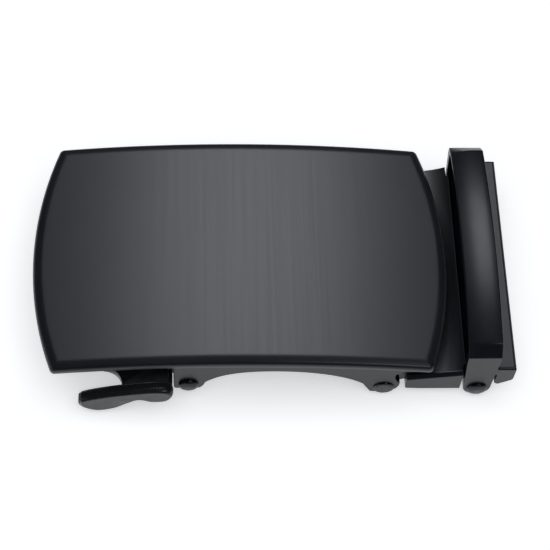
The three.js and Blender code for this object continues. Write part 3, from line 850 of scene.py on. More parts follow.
# ---- face plate ----
@dataclass
class FacePlate:
    """The bowed face: straight long edges, arc ends, a narrow bevel all round and a hollow underneath."""

    rim: float = FACE_RIM
    skin: float = 1.0
    lip: float = 1.9
    end_rise: float = 3.6
    bevel_width: float = 1.3
    bevel_drop: float = 0.4
    corner: float = 0.9
    crease_round: float = 0.22
    edge_round: float = 0.75
    foot_round: float = 0.3
    rows: int = 12
    boss: float = 2.4

    def end_radius(self) -> float:
        """Gives the radius of the end arcs in plan."""
        return (HALF_WIDTH**2 + self.end_rise**2) / (2 * self.end_rise)

    def contour(self, inset: float) -> list[Point]:
        """Draws the far half of the plan, from the left end's middle to the right end's.

        Args:
            inset: how far it is drawn in from the outer edge.

        Returns:
            Its (x, y) points, as many at each inset.
        """
        radius = self.end_radius() - inset
        centre = HALF_LENGTH - self.end_radius()
        half = HALF_WIDTH - inset
        corner = max(self.corner - inset, 0.15)
        fillet_x = centre + math.sqrt((radius - corner) ** 2 - (half - corner) ** 2)
        fillet_y = half - corner
        sweep = math.degrees(math.atan2(fillet_y, fillet_x - centre))
        right = Outline(fillet_x, half)
        right.arc((fillet_x, fillet_y), corner, 90, sweep, steps=8)
        right.arc((centre, 0), radius, sweep, 0, steps=36)
        straight = [(fillet_x * i / 60, half) for i in range(60)]
        quarter = straight + right.points[1:]
        left = [(-x, y) for x, y in reversed(quarter[1:])]
        return left + quarter

    def section(self) -> list[Point]:
        """Draws the edge's section, from the crown over the rim into the hollow.

        Returns:
            Its (inset, depth) points.
        """
        crease = self.bevel_width
        slope = self.bevel_drop / crease
        soft = self.crease_round
        points = [(crease + 3 * soft, 0.0), (crease + 1.5 * soft, 0.0), (crease + 0.6 * soft, 0.008)]
        points.append((crease - 0.6 * soft, 0.6 * soft * slope + 0.012))
        points.append((crease - 1.5 * soft, 1.5 * soft * slope))
        lean = math.atan(slope)
        start = self.edge_round * (1 - math.sin(lean))
        middle = (crease - start) * slope + self.edge_round * math.cos(lean)
        for i in range(13):
            angle = lean + (math.pi / 2 - lean) * i / 12
            inset = self.edge_round * (1 - math.sin(angle))
            points.append((inset, middle - self.edge_round * math.cos(angle)))
        foot = self.foot_round
        for i in range(7):
            angle = math.radians(90 * i / 6)
            points.append((foot * (1 - math.cos(angle)), self.rim - foot * (1 - math.sin(angle))))
        points += [(self.lip - 0.15, self.rim), (self.lip, self.rim - 0.15), (self.lip, self.skin)]
        return points

    def mesh(self) -> Solid:
        """Builds the plate.

        Returns:
            The solid.
        """
        shape = bmesh.new()
        rings = []
        for inset, depth in self.section():
            far = self.contour(inset)
            near = [(x, -y) for x, y in reversed(far[1:-1])]
            rings.append([shape.verts.new((x, y, bow(x) - depth)) for x, y in far + near])
        for outer, inner in zip(rings, rings[1:]):
            for i in range(len(outer)):
                shape.faces.new((outer[i - 1], outer[i], inner[i], inner[i - 1]))
        for inset, depth in (self.section()[0], self.section()[-1]):
            self._fill(shape, self.contour(inset), depth)
        return new_object("face", shape)

    def _fill(self, shape: bmesh.types.BMesh, far: list[Point], depth: float) -> None:
        """Fills a contour with rows of faces across the belt.

        Args:
            shape: the mesh in the making.
            far: the contour's far half.
            depth: how far the surface lies under the face.
        """
        columns = []
        for x, y in far:
            spots = [y * (1 - 2 * row / self.rows) for row in range(self.rows + 1)]
            columns.append([shape.verts.new((x, spot, bow(x) - depth)) for spot in spots])
        for here, there in zip(columns, columns[1:]):
            for row in range(self.rows):
                shape.faces.new((here[row], here[row + 1], there[row + 1], there[row]))

    def build(self) -> None:
        """Makes the face and its four bosses."""
        plate = self.mesh()
        for x, y in screw_places():
            top, foot = bow(x) - self.skin + 0.2, bow(x) - self.rim
            profile = [(0, foot), (self.boss - 0.15, foot), (self.boss, foot + 0.15), (self.boss, top)]
            profile.append((0, top))
            fuse(plate, turned(profile, Vector((x, y, 0)), Direction.UP))
        hand_over(plate, "bowed_face", FACE_COAT, Body.FRAME, "face_plate")


def screw_places() -> list[Point]:
    """Gives the centres of the four face screws."""
    spots = [DATUM.centre(f"face_screw_{i}") for i in range(1, 5)]
    return [(spot.x, spot.y) for spot in spots]


# ---- chassis ----
@dataclass
class Chassis:
    """The frame under the face: a bowed plate, a tongue for the left screws and two side walls with lugs."""

    web_depth: float = WEB_DEPTH
    web_under: float = WEB_UNDER
    tongue_half: float = 12.0
    tongue_start: float = CHASSIS_LOW.x
    flange_end: float = CHASSIS_HIGH.x
    wall_start: float = PAWL_PIN.x - 2.3
    pawl_foot: float = PAWL_PIN.z - 1.6
    hinge_foot: float = HINGE_PIN.z - 1.8
    arch_top: float = -4.7
    screw_head: float = 1.55
    screw_shank: float = 0.85
    head_height: float = 0.7

    def plate(self, x0: float, x1: float, half: float) -> Solid:
        """Makes a stretch of the bowed plate.

        Args:
            x0: its left end.
            x1: its right end.
            half: half its width.

        Returns:
            The solid.
        """
        side = Outline(x0, bow(x0, self.web_under)).bowed(x1, self.web_under)
        side.line(x1, bow(x1, self.web_depth)).bowed(x0, self.web_depth)
        return prism(side, Direction.ACROSS, -half, half)

    def wall(self, y0: float, y1: float) -> Solid:
        """Makes a side wall: a lug under each pin and an arch between them.

        Args:
            y0: one face of the wall.
            y1: the other one.

        Returns:
            The solid.
        """
        corner = 0.6
        lug = PAWL_PIN.x + 2.6
        knuckle = 2.1
        left, right = HINGE_PIN.x - knuckle, HINGE_PIN.x + knuckle + 0.3
        arch_x = (PAWL_PIN.x + HINGE_PIN.x) / 2 - 2.3
        rise = (left - 1.3, HINGE_PIN.z + 1.2)
        waist = right - 1.3
        shelf = -5.0
        root = self.web_depth + 0.4
        side = Outline(self.wall_start, bow(self.wall_start, root))
        side.line(self.wall_start, self.pawl_foot + corner)
        side.curve((self.wall_start, self.pawl_foot), (self.wall_start + corner, self.pawl_foot), steps=8)
        side.line(lug - 1.2, self.pawl_foot)
        side.curve((lug - 0.3, self.pawl_foot + 0.3), (lug, self.pawl_foot + 2))
        crown = (arch_x, self.arch_top)
        side.curve((lug + 2.2, self.arch_top - 1), (arch_x - 4.7, self.arch_top), crown, steps=40)
        side.curve((arch_x + 6.8, self.arch_top), (rise[0] - 2.4, rise[1] + 2.4), rise, steps=40)
        side.line(left, self.hinge_foot + 0.3)
        side.curve((HINGE_PIN.x, self.hinge_foot - 0.3), (HINGE_PIN.x + 1.6, self.hinge_foot + 0.7))
        side.curve((right + 0.2, HINGE_PIN.z), (right, HINGE_PIN.z + 1.5))
        side.curve((waist + 0.2, HINGE_PIN.z + 2.4), (waist - 0.2, shelf - 0.4), (waist + 1.8, shelf - 0.1))
        side.line(self.flange_end, shelf)
        side.line(self.flange_end, bow(self.flange_end, root)).bowed(self.wall_start, root)
        return prism(side, Direction.ACROSS, y0, y1)

    def countersink(self, x: float, y: float) -> Solid:
        """Makes the cutter of one screw's hole.

        Args:
            x: its place along the belt.
            y: its place across it.

        Returns:
            The cutter.
        """
        under = bow(x) - self.web_under
        top = bow(x) - self.web_depth + OVERRUN
        profile = [(0, under - OVERRUN), (self.screw_head, under - OVERRUN), (self.screw_head, under + 0.1)]
        profile += [(self.screw_shank, under + self.head_height + 0.1), (self.screw_shank, top), (0, top)]
        return turned(profile, Vector((x, y, 0)), Direction.UP)

    def build(self) -> None:
        """Makes the chassis."""
        body = self.plate(self.wall_start, self.flange_end, WALL_OUTER)
        tongue = self.plate(self.tongue_start, self.wall_start + 1, self.tongue_half)
        walls = [self.wall(side * WALL_INNER, side * WALL_OUTER) for side in (-1, 1)]
        fuse(body, tongue, *walls)
        cut(body, *(self.countersink(x, y) for x, y in screw_places()))
        soften(body, Edge(0.14, 3))
        for pin, radius in ((PAWL_PIN, PAWL_HOLE), (HINGE_PIN, HINGE_HOLE)):
            cut(body, cross_bar(pin, radius, -HALF_WIDTH - OVERRUN, HALF_WIDTH + OVERRUN))
        hand_over(body, "chassis_frame", CAST_COAT, Body.FRAME, "chassis")


@dataclass
class FaceScrews:
    """Four countersunk slotted screws whose heads follow the bow of the chassis plate."""

    head: float = 1.42
    head_height: float = 0.7
    shank: float = 0.75
    length: float = 2.0
    slot_width: float = 0.4
    slot_depth: float = 0.3

    def build(self) -> None:
        """Makes the screws by their tree."""
        places = screw_places()
        xs = [x for x, _ in places]
        ys = [y for _, y in places]
        sizes = {
            "Spacing Along": max(xs) - min(xs),
            "Spacing Across": max(ys) - min(ys),
            "Middle": (max(xs) + min(xs)) / 2,
            "Bow Radius": BOW_RADIUS,
            "Depth": WEB_UNDER,
            "Head Radius": self.head,
            "Head Height": self.head_height,
            "Shank Radius": self.shank,
            "Length": self.length,
            "Slot Width": self.slot_width,
            "Slot Depth": self.slot_depth,
        }
        tree = Tree("face_screw_tree", sizes, PIN_STEEL.material())
        size = tree.size
        grid = {"Size X": size("Spacing Along"), "Size Y": size("Spacing Across")}
        spots = tree.add("MeshGrid", {**grid, "Vertices X": 2, "Vertices Y": 2}).outputs["Mesh"]
        here = tree.add("ShaderNodeSeparateXYZ", {0: tree.add("InputPosition").outputs[0]})
        x = tree.math("ADD", here.outputs[0], size("Middle"))
        reach = tree.math("SUBTRACT", tree.math("POWER", size("Bow Radius"), 2.0), tree.math("POWER", x, 2.0))
        drop = tree.math("SUBTRACT", tree.math("SQRT", reach), size("Bow Radius"))
        z = tree.math("SUBTRACT", drop, size("Depth"))
        spots = tree.add("SetPosition", {"Geometry": spots, "Position": tree.vector(x, here.outputs[1], z)})
        head = {
            "Vertices": 48,
            "Radius Top": size("Shank Radius"),
            "Radius Bottom": size("Head Radius"),
            "Depth": size("Head Height"),
        }
        cone = tree.add("MeshCone", head).outputs["Mesh"]
        bar = {"Vertices": 48, "Radius": size("Shank Radius"), "Depth": size("Length")}
        shank = tree.add("MeshCylinder", bar).outputs["Mesh"]
        rise = tree.math("ADD", tree.math("MULTIPLY", size("Length"), 0.5), 0.5)
        shank = tree.moved(shank, tree.vector(z=rise))
        whole = tree.add("MeshBoolean", {"Mesh 2": [cone, shank]}, operation="UNION").outputs["Mesh"]
        depth = tree.math("MULTIPLY", size("Slot Depth"), 2.0)
        slot = tree.add("MeshCube", {"Size": tree.vector(2.2, size("Slot Width"), depth)}).outputs["Mesh"]
        slotted = tree.add("MeshBoolean", {"Mesh 1": whole, "Mesh 2": slot}, operation="DIFFERENCE")
        links = {"Points": spots.outputs[0], "Instance": slotted.outputs["Mesh"]}
        screws = tree.bake(tree.add("InstanceOnPoints", links).outputs[0])
        nodes = [f"face_screw_{i}" for i in range(1, 5)]
        hand_over(soften(screws, Edge(0.05, 2)), "face_screws", PIN_STEEL, Body.FRAME, *nodes)


# ---- pins and rivets ----
@dataclass
class HeadedPin:
    """A pin or rivet across the belt: a domed head at one end and a peened one at the other.

    Attributes:
        node: the CAD node that it stands for.
        radius: of the shank.
        head: radius of its heads.
        dome: height of the head.
        peen: height of the peened end, or 0 for a plain end.
        flat: share of the head's radius that is flat at the crown.
        head_at: where the head's seat lies across the belt.
        end_at: where the other end's seat lies.
        body: what it moves with.
        name: the piece's name.
    """

    node: str
    radius: float
    head: float
    dome: float
    peen: float
    flat: float
    head_at: float
    end_at: float
    body: Body
    name: str

    def cap(self, seat: float, height: float, head: float, outwards: int) -> list[Point]:
        """Draws a domed end from its crown to its seat.

        Args:
            seat: where the head rests.
            height: how high it stands.
            head: its radius.
            outwards: +1 or -1, the way that it stands.

        Returns:
            Its (radius, place) points.
        """
        points = [(0, seat + outwards * height)]
        flat = self.flat * head
        for i in range(11):
            angle = math.radians(90 * i / 10)
            rise = height * (0.2 + 0.8 * math.cos(angle)) if i < 10 else height * 0.2
            points.append((flat + (head - flat) * math.sin(angle), seat + outwards * rise))
        points.append((head, seat))
        return points

    def build(self) -> None:
        """Makes the pin."""
        way = 1 if self.end_at > self.head_at else -1
        seat = self.head_at - HEAD_GAP * way
        profile = self.cap(seat, self.dome - HEAD_GAP, self.head, -way)
        profile.append((self.radius, seat))
        if self.peen:
            end = self.end_at + HEAD_GAP * way
            profile.append((self.radius, end))
            profile += reversed(self.cap(end, self.peen - HEAD_GAP, self.head * 0.85, way))
        else:
            profile += [(self.radius, self.end_at), (0, self.end_at)]
        centre = DATUM.centre(self.node)
        made = turned(profile, Vector((centre.x, 0, centre.z)), Direction.ACROSS)
        hand_over(made, self.name, PIN_STEEL, self.body, self.node)


# ---- pawl, spring and release lever ----
@dataclass
class Pawl:
    """The toothed bar across the buckle that holds the strap's track."""

    half: float = DATUM.box("pawl")[1].y
    hub: float = 1.5
    tooth_x: float = PAWL_PIN.x + 7.1
    tooth_top: float = PAWL_PIN.z + 2.5
    plate: float = 1.2
    pocket_half: float = 2.68
    pocket_radius: float = 1.95

    def build(self) -> None:
        """Makes the pawl."""
        under = PAWL_PIN.z - self.hub
        side = Outline(PAWL_PIN.x, PAWL_PIN.z + self.hub)
        side.line(self.tooth_x - 1.4, self.tooth_top - self.plate)
        side.line(self.tooth_x - 0.2, self.tooth_top)
        side.line(self.tooth_x + 0.1, self.tooth_top)
        side.line(self.tooth_x + 0.9, under + 0.9)
        side.curve((self.tooth_x + 0.9, under + 0.3), (self.tooth_x + 0.2, under + 0.25), steps=6)
        side.arc((PAWL_PIN.x, PAWL_PIN.z), self.hub, 270, 90, 30)
        body = prism(side, Direction.ACROSS, -self.half, self.half)
        cut(body, cross_bar(PAWL_PIN, self.pocket_radius, -self.pocket_half, self.pocket_half))
        soften(body, Edge(0.1, 2))
        cut(body, cross_bar(PAWL_PIN, PAWL_HOLE, -self.half - OVERRUN, self.half + OVERRUN))
        hand_over(body, "toothed_pawl", BRIGHT_STEEL, Body.PAWL_SET, "pawl")


@dataclass
class PawlSpring:
    """The torsion spring on the pawl pin."""

    wire: float = 0.25
    turns: float = 5.0
    pitch: float = 0.75
    coil: float = 1.4

    def build(self) -> None:
        """Makes the spring by its tree."""
        sizes = {
            "Wire Radius": self.wire,
            "Turns": self.turns,
            "Coil Radius": self.coil,
            "Height": self.turns * self.pitch,
        }
        tree = Tree("pawl_spring_tree", sizes, BRIGHT_STEEL.material())
        size = tree.size
        coil = {
            "Resolution": 48,
            "Rotations": size("Turns"),
            "Start Radius": size("Coil Radius"),
            "End Radius": size("Coil Radius"),
            "Height": size("Height"),
        }
        helix = tree.add("CurveSpiral", coil).outputs["Curve"]
        ring = tree.add("CurvePrimitiveCircle", {"Resolution": 12, "Radius": size("Wire Radius")})
        sweep = {"Curve": helix, "Profile Curve": ring.outputs["Curve"], "Fill Caps": True}
        wire = tree.add("CurveToMesh", sweep).outputs["Mesh"]
        back = tree.vector(z=tree.math("MULTIPLY", size("Height"), -0.5))
        upright = tree.moved(wire, back)
        across = tree.moved(upright, (PAWL_PIN.x, 0, PAWL_PIN.z), (math.pi / 2, 0, math.pi))
        made = tree.bake(across)
        hand_over(made, "torsion_spring", BRIGHT_STEEL, Body.FRAME, "pawl_spring")


@dataclass
class ReleaseLever:
    """The side lever: an arm inside the wall, a neck under the face's edge and a rounded thumb piece."""

    thickness: float = 1.8
    arm_outer: float = WALL_INNER - 0.55
    inner: float = HALF_WIDTH + 0.3
    outer: float = -DATUM.box("release_lever")[0].y
    neck_left: float = PAWL_PIN.x - 10.2
    neck_right: float = PAWL_PIN.x - 3.1
    neck_top: float = PAWL_PIN.z + 2.1
    fillet: float = 3.0
    hub: float = 1.5
    dowel: Vector = field(default_factory=lambda: DATUM.centre("lever_dowel"))

    def thumb_outline(self) -> Outline:
        """Draws the thumb piece's side view: a long pad and a rounded lobe.

        Returns:
            The outline.
        """
        around = [(-15.9, 0.7), (-13.8, 1.6), (-10.5, 2.6), (-5.8, 3.5), (-3.2, 3.3), (-2.3, 1.9)]
        around += [(-3.3, 0.0), (-5.6, -0.4), (-7.6, 0.3), (-9.3, -0.8), (-11.4, -2.5)]
        around += [(-14.2, -3.3), (-16.5, -2.0)]
        start = Outline(PAWL_PIN.x - 16.8, PAWL_PIN.z - 0.1)
        return start.spline([(PAWL_PIN.x + x, PAWL_PIN.z + z) for x, z in around])

    def arm(self) -> Solid:
        """Makes the arm, from the dowel past the pawl pin to the neck.

        Returns:
            The solid.
        """
        under = self.neck_top - self.thickness
        side = Outline(PAWL_PIN.x, PAWL_PIN.z + self.hub).line(self.dowel.x, self.dowel.z + 1.2)
        side.arc((self.dowel.x, self.dowel.z), 1.25, 90, -90)
        side.arc((PAWL_PIN.x, PAWL_PIN.z), self.hub, 270, 225, 8).line(self.neck_right, under)
        side.line(self.neck_left - self.fillet, under).line(self.neck_left - self.fillet, self.neck_top)
        side.line(self.neck_right, self.neck_top)
        return prism(side, Direction.ACROSS, -self.arm_outer, self.thickness - self.arm_outer)

    def neck(self) -> Solid:
        """Makes the neck, with a fillet where it leaves the arm.

        Returns:
            The solid.
        """
        root = self.neck_left - self.fillet
        end = -self.inner - 0.6
        plan = Outline(self.neck_right, self.thickness - self.arm_outer)
        plan.line(root, self.thickness - self.arm_outer)
        plan.arc((root, -self.arm_outer - self.fillet), self.fillet, 90, 0)
        plan.line(self.neck_left, end).line(self.neck_right, end)
        return prism(plan, Direction.UP, self.neck_top - self.thickness, self.neck_top)

    def build(self) -> None:
        """Makes the lever and its serrations."""
        body = fuse(self.arm(), self.neck())
        fuse(body, pillow(self.thumb_outline(), -self.outer, -self.inner, (0.5, 0.8)))
        under = self.neck_top - self.thickness
        web = (self.neck_right - 1.0, self.neck_right + 0.62)
        fuse(body, block(web, (-self.inner - 0.3, -self.arm_outer), (under - 1.0, under + 0.01)))
        soften(body, Edge(0.15, 3))
        through = (-self.arm_outer - 1, self.thickness - self.arm_outer + 0.2)
        cut(body, cross_bar(PAWL_PIN, PAWL_HOLE, *through), cross_bar(self.dowel, DOWEL_HOLE, *through))
        hand_over(body, "release_lever_arm", LEVER_COAT, Body.PAWL_SET, "release_lever")
        self.serrations()

    def serrations(self) -> None:
        """Makes the fine ribs round the pad's end by their tree."""
        sizes = {"Count": 17, "Rib Radius": 0.2, "Rib Length": self.outer - self.inner - 0.7}
        tree = Tree("thumb_rib_tree", sizes, LEVER_COAT.material())
        size = tree.size
        middle = -(self.inner + self.outer) / 2
        path = {
            "Start": (PAWL_PIN.x - 11.6, middle, PAWL_PIN.z - 2.55),
            "Start Handle": (PAWL_PIN.x - 13.8, middle, PAWL_PIN.z - 3.9),
            "End Handle": (PAWL_PIN.x - 17.5, middle, PAWL_PIN.z - 2.9),
            "End": (PAWL_PIN.x - 16.7, middle, PAWL_PIN.z - 0.1),
        }
        line = tree.add("CurvePrimitiveBezierSegment", {"Resolution": 32, **path}).outputs["Curve"]
        spots = tree.add("CurveToPoints", {"Curve": line, "Count": size("Count")}).outputs["Points"]
        rib = {"Vertices": 12, "Radius": size("Rib Radius"), "Depth": size("Rib Length")}
        bar = tree.moved(tree.add("MeshCylinder", rib).outputs["Mesh"], (0, 0, 0), (math.pi / 2, 0, 0))
        ribs = tree.bake(tree.add("InstanceOnPoints", {"Points": spots, "Instance": bar}).outputs[0])
        hand_over(soften(ribs, Edge(0.05, 2)), "thumb_ribs", LEVER_COAT, Body.PAWL_SET)


# ---- tail housing ----
@dataclass
class TailHousing:
    """The hinged tail: knuckle, ramp, side walls, and a floor with cheeks for the clamp's rivets."""

    knuckle: float = 2.1
    wall: float = 1.4
    cheek: float = 1.4
    cheek_radius: float = 2.1
    floor: float = 0.8

    def __post_init__(self) -> None:
        """Works out the places that follow from the pins."""
        self.start = HINGE_PIN.x + self.knuckle + GAP + 1
        self.wall_end = CLAMP_PIVOT.x - 2.7
        self.floor_end = TAIL_HIGH.x
        self.floor_top = HINGE_PIN.z + 0.2
        self.floor_under = self.floor_top - self.floor
        self.ramp_top = HINGE_PIN.z + 2.9
        self.ramp_bend = (self.start + 5.9, self.ramp_top - 0.1)
        self.ramp_end = self.ramp_top + 1.4
        self.ramp_half = WALL_OUTER - 0.7
        self.half = WALL_INNER - GAP
        self.cheek_outer = WALL_OUTER - self.wall - GAP
        self.cheek_inner = self.cheek_outer - self.cheek

    def middle(self) -> Solid:
        """Makes the middle of the housing from its side view.

        Returns:
            The solid.
        """
        top = HINGE_PIN.z + self.knuckle
        side = Outline(HINGE_PIN.x, top).line(HINGE_PIN.x + 2, top)
        side.line(self.start + 0.2, self.ramp_top - 0.15)
        side.curve((self.start + 0.4, self.ramp_top), (self.start + 0.8, self.ramp_top), steps=6)
        side.line(self.start + 2.2, self.ramp_top)
        side.curve(self.ramp_bend, (self.wall_end, self.ramp_end), steps=30)
        side.line(self.wall_end + 0.4, self.ramp_end + 0.22).line(self.wall_end + 0.4, self.ramp_end - 0.7)
        side.line(self.wall_end, self.ramp_end - 1.1)
        side.line(self.wall_end, self.floor_top).line(self.floor_end, self.floor_top)
        side.line(self.floor_end, self.floor_under + 0.3).line(self.floor_end - 0.3, self.floor_under)
        side.line(self.start, self.floor_under)
        side.arc((HINGE_PIN.x, HINGE_PIN.z), self.knuckle, 270, 90, 36)
        return prism(side, Direction.ACROSS, -self.half, self.half)

    def side_wall(self, side: int) -> Solid:
        """Makes one side wall.

        Args:
            side: -1 for the near wall, 1 for the far one.

        Returns:
            The solid.
        """
        view = Outline(self.start, self.ramp_top - 0.2)
        view.line(self.start, self.floor_under + 0.5)
        view.curve((self.start, self.floor_under + 0.2), (self.start + 0.3, self.floor_under + 0.15), steps=5)
        view.line(self.start + 2.4, self.floor_under).line(self.wall_end, self.floor_under)
        view.line(self.wall_end, self.ramp_top + 1.7).line(self.start + 0.3, self.ramp_top + 0.15)
        return prism(view, Direction.ACROSS, side * (self.half - 1), side * WALL_OUTER)

    def over_ramp(self) -> Solid:
        """Makes the cutter of the strap's way over the ramp.

        Returns:
            The cutter.
        """
        side = Outline(self.start - GAP, self.ramp_top).line(self.start + 2.2, self.ramp_top)
        side.curve(self.ramp_bend, (self.wall_end, self.ramp_end), steps=30)
        side.line(self.wall_end + 0.01, 0).line(self.start - GAP, 0)
        return prism(side, Direction.ACROSS, -self.ramp_half, WALL_OUTER + 1)

    def rim_chamfer(self, side: int) -> Solid:
        """Makes the cutter that slopes the top of one side wall outwards.

        Args:
            side: -1 for the near wall, 1 for the far one.

        Returns:
            The cutter.
        """
        run = self.wall_end - self.start - 0.3
        rise = 1.55
        section = Outline(side * (WALL_OUTER - 0.55), 0).line(side * (WALL_OUTER + 0.3), -0.85)
        section.line(side * (WALL_OUTER + 0.3), 1).line(side * (WALL_OUTER - 0.55), 1)
        wedge = prism(section, Direction.ALONG, -1, run + 2)
        lean = Matrix.Rotation(-math.atan(rise / run), 4, "Y")
        wedge.data.transform(Matrix.Translation((self.start + 0.3, 0, self.ramp_top + 0.15)) @ lean)
        return wedge

    def cheeks(self, side: int) -> Solid:
        """Makes one cheek round a clamp rivet.

        Args:
            side: -1 for the near cheek, 1 for the far one.

        Returns:
            The solid.
        """
        left, right = CLAMP_PIVOT.x - self.cheek_radius, CLAMP_PIVOT.x + self.cheek_radius
        foot = self.floor_top + 1.2
        view = Outline(left, CLAMP_PIVOT.z).line(left, foot - 0.8)
        view.curve((left, foot), (left + 0.8, foot), steps=8).line(right - 0.8, foot)
        view.curve((right, foot), (right, foot - 0.8), steps=8).line(right, CLAMP_PIVOT.z)
        view.arc((CLAMP_PIVOT.x, CLAMP_PIVOT.z), self.cheek_radius, 0, -180, 30)
        return prism(view, Direction.ACROSS, side * self.cheek_inner, side * self.cheek_outer)

    def build(self) -> None:
        """Makes the housing."""
        body = self.middle()
        end = (self.wall_end, self.floor_end + OVERRUN)
        for side in (-1, 1):
            across = tuple(sorted((side * self.cheek_outer, side * (WALL_OUTER + OVERRUN))))
            cut(body, block(end, across, (self.floor_under - OVERRUN, self.ramp_top + OVERRUN)))
            recess = side * (self.cheek_inner - 1)
            cut(body, cross_bar(CLAMP_PIVOT, HEAD_RECESS, side * self.cheek_inner, recess))
            fuse(body, self.side_wall(side), self.cheeks(side))
            cut(body, cross_bar(CLAMP_PIVOT, RIVET_HOLE, recess, side * (WALL_OUTER + OVERRUN)))
        cut(body, self.over_ramp(), self.rim_chamfer(-1))
        cut(body, cross_bar(HINGE_PIN, HINGE_HOLE, -HALF_WIDTH, HALF_WIDTH))
        soften(body, Edge(0.12, 3))
        hand_over(body, "hinged_tail", CAST_COAT, Body.TAIL, "tail_housing")


# ---- clamp loop ----
@dataclass
class ClampLoop:
    """The folding clamp: a cushioned keeper bar on two ears and a roof over the strap's end."""

    left: float = LOOP_LOW.x
    right: float = LOOP_LOW.x + 5.2
    ear: float = 1.4
    end_top: float = 1.4
    crown: float = 2.05
    bar: float = 1.6
    facet: float = 1.65
    ear_top: float = -1.5
    lug: float = 2.15
    roof: float = 1.0
    roof_top: float = CLAMP_PIVOT.z + 6.6
    apex: float = 0.82
    cushion_left: float = 0.95
    cushion_right: float = 0.1

    def bar_top(self, share: float, y: float) -> float:
        """Gives the height of the cushioned top.

        Args:
            share: the place along the belt, 0 at the bar's left edge and 1 at its right.
            y: the place across it.

        Returns:
            Its Z.
        """
        half = WALL_OUTER - self.facet
        arch = self.end_top + self.crown * (1 - (y / half) ** 2)
        span = self.apex if share < self.apex else 1 - self.apex
        fall = self.cushion_left if share < self.apex else self.cushion_right
        return arch - fall * ((share - self.apex) / span) ** 2

    def span(self, z: float) -> Point:
        """Gives the loop's left and right ends at one height.

        Args:
            z: the height.

        Returns:
            Their places along the belt.
        """
        if z >= self.ear_top:
            return self.left, self.right
        if z >= CLAMP_PIVOT.z:
            share = (z - CLAMP_PIVOT.z) / (self.ear_top - CLAMP_PIVOT.z)
            low = (CLAMP_PIVOT.x - self.lug, CLAMP_PIVOT.x + self.lug)
            return tuple(a + (b - a) * share for a, b in zip(low, (self.left, self.right)))
        half = math.sqrt(max(self.lug**2 - (z - CLAMP_PIVOT.z) ** 2, 0))
        return CLAMP_PIVOT.x - half, CLAMP_PIVOT.x + half

    def rims(self, share: float) -> tuple[list[Point], list[Point]]:
        """Draws the loop's end view at one place along the belt.

        Args:
            share: the place, 0 at the bar's left edge and 1 at its right.

        Returns:
            The (y, z) points of its outside and its inside, as many in each, from the near foot to the far.
        """
        rows = 72
        half = WALL_OUTER - self.facet
        inside = WALL_OUTER - self.ear
        under = self.end_top - self.bar
        lug = [CLAMP_PIVOT.z - self.lug * math.sin(math.radians(angle)) for angle in range(84, 0, -12)]
        ear = [*lug, CLAMP_PIVOT.z, self.ear_top]
        low = self.end_top - self.facet * 1.05
        edge = self.bar_top(share, half)
        outer = [(WALL_OUTER, z) for z in ear]
        outer += [(WALL_OUTER, low), ((WALL_OUTER + half) / 2, (low + edge) / 2)]
        inner = [(inside, z) for z in ear]
        inner += [(inside, under - 0.4), (inside - 0.35, under + 0.05)]
        steps = [2 * i / rows - 1 for i in range(rows + 1)]
        top = [(half * step, self.bar_top(share, half * step)) for step in steps]
        places = [(inside - 1.2) * step for step in steps]
        floor = [(y, under + 0.2 + self.crown * (1 - (y / half) ** 2)) for y in places]
        outside = [(-y, z) for y, z in outer] + top + outer[::-1]
        return outside, [(-y, z) for y, z in inner] + floor + inner[::-1]

    def hoop(self) -> Solid:
        """Makes the bar and both ears as one band.

        Returns:
            The solid.
        """
        columns = 22
        shape = bmesh.new()
        layers = []
        for column in range(columns + 1):
            share = column / columns
            pair = []
            for rim in self.rims(share):
                spots = []
                for y, z in rim:
                    left, right = self.span(z)
                    spots.append(shape.verts.new((left + (right - left) * share, y, z)))
                pair.append(spots)
            layers.append(pair)
        for here, there in zip(layers, layers[1:]):
            for rim in (0, 1):
                for i in range(1, len(here[rim])):
                    shape.faces.new((here[rim][i - 1], here[rim][i], there[rim][i], there[rim][i - 1]))
            for foot in (0, -1):
                shape.faces.new((here[0][foot], here[1][foot], there[1][foot], there[0][foot]))
        for outer, inner in (layers[0], layers[-1]):
            for i in range(1, len(outer)):
                shape.faces.new((outer[i - 1], outer[i], inner[i], inner[i - 1]))
        return new_object("hoop", shape)

    def roof_solid(self) -> Solid:
        """Makes the roof with the lip that drops in front of the strap's end.

        Returns:
            The solid.
        """
        lip = CLAMP_PIVOT.z + 3
        under = self.roof_top - self.roof
        end = LOOP_HIGH.x
        x = CLAMP_PIVOT.x
        side = Outline(x - self.lug, lip).curve((x - 1, self.roof_top), (x + 0.8, self.roof_top), steps=16)
        side.line(end - 0.32, self.roof_top).line(end, self.roof_top - 0.3)
        side.line(end, under).line(x + 1.4, under)
        side.curve((x, under), (x - 1, lip), steps=16)
        return prism(side, Direction.ACROSS, -WALL_OUTER, WALL_OUTER)

    def flange(self, side: int) -> Solid:
        """Makes the flange that closes the roof's side behind an ear.

        Args:
            side: -1 for the near flange, 1 for the far one.

        Returns:
            The solid.
        """
        top, notch = self.roof_top - 0.4, self.roof_top - 2
        foot = CLAMP_PIVOT.z + 1.3
        end = LOOP_HIGH.x
        view = Outline(self.right - 1, top).line(self.right - 1, notch).line(self.right + 0.1, notch)
        view.line(self.right + 0.1, foot + 0.3).line(self.right + 0.7, foot).line(end - 0.5, foot + 1.2)
        view.curve((end - 0.05, foot + 1.5), (end, foot + 2), steps=5).line(end, top)
        return prism(view, Direction.ACROSS, side * (WALL_OUTER - self.ear), side * WALL_OUTER)

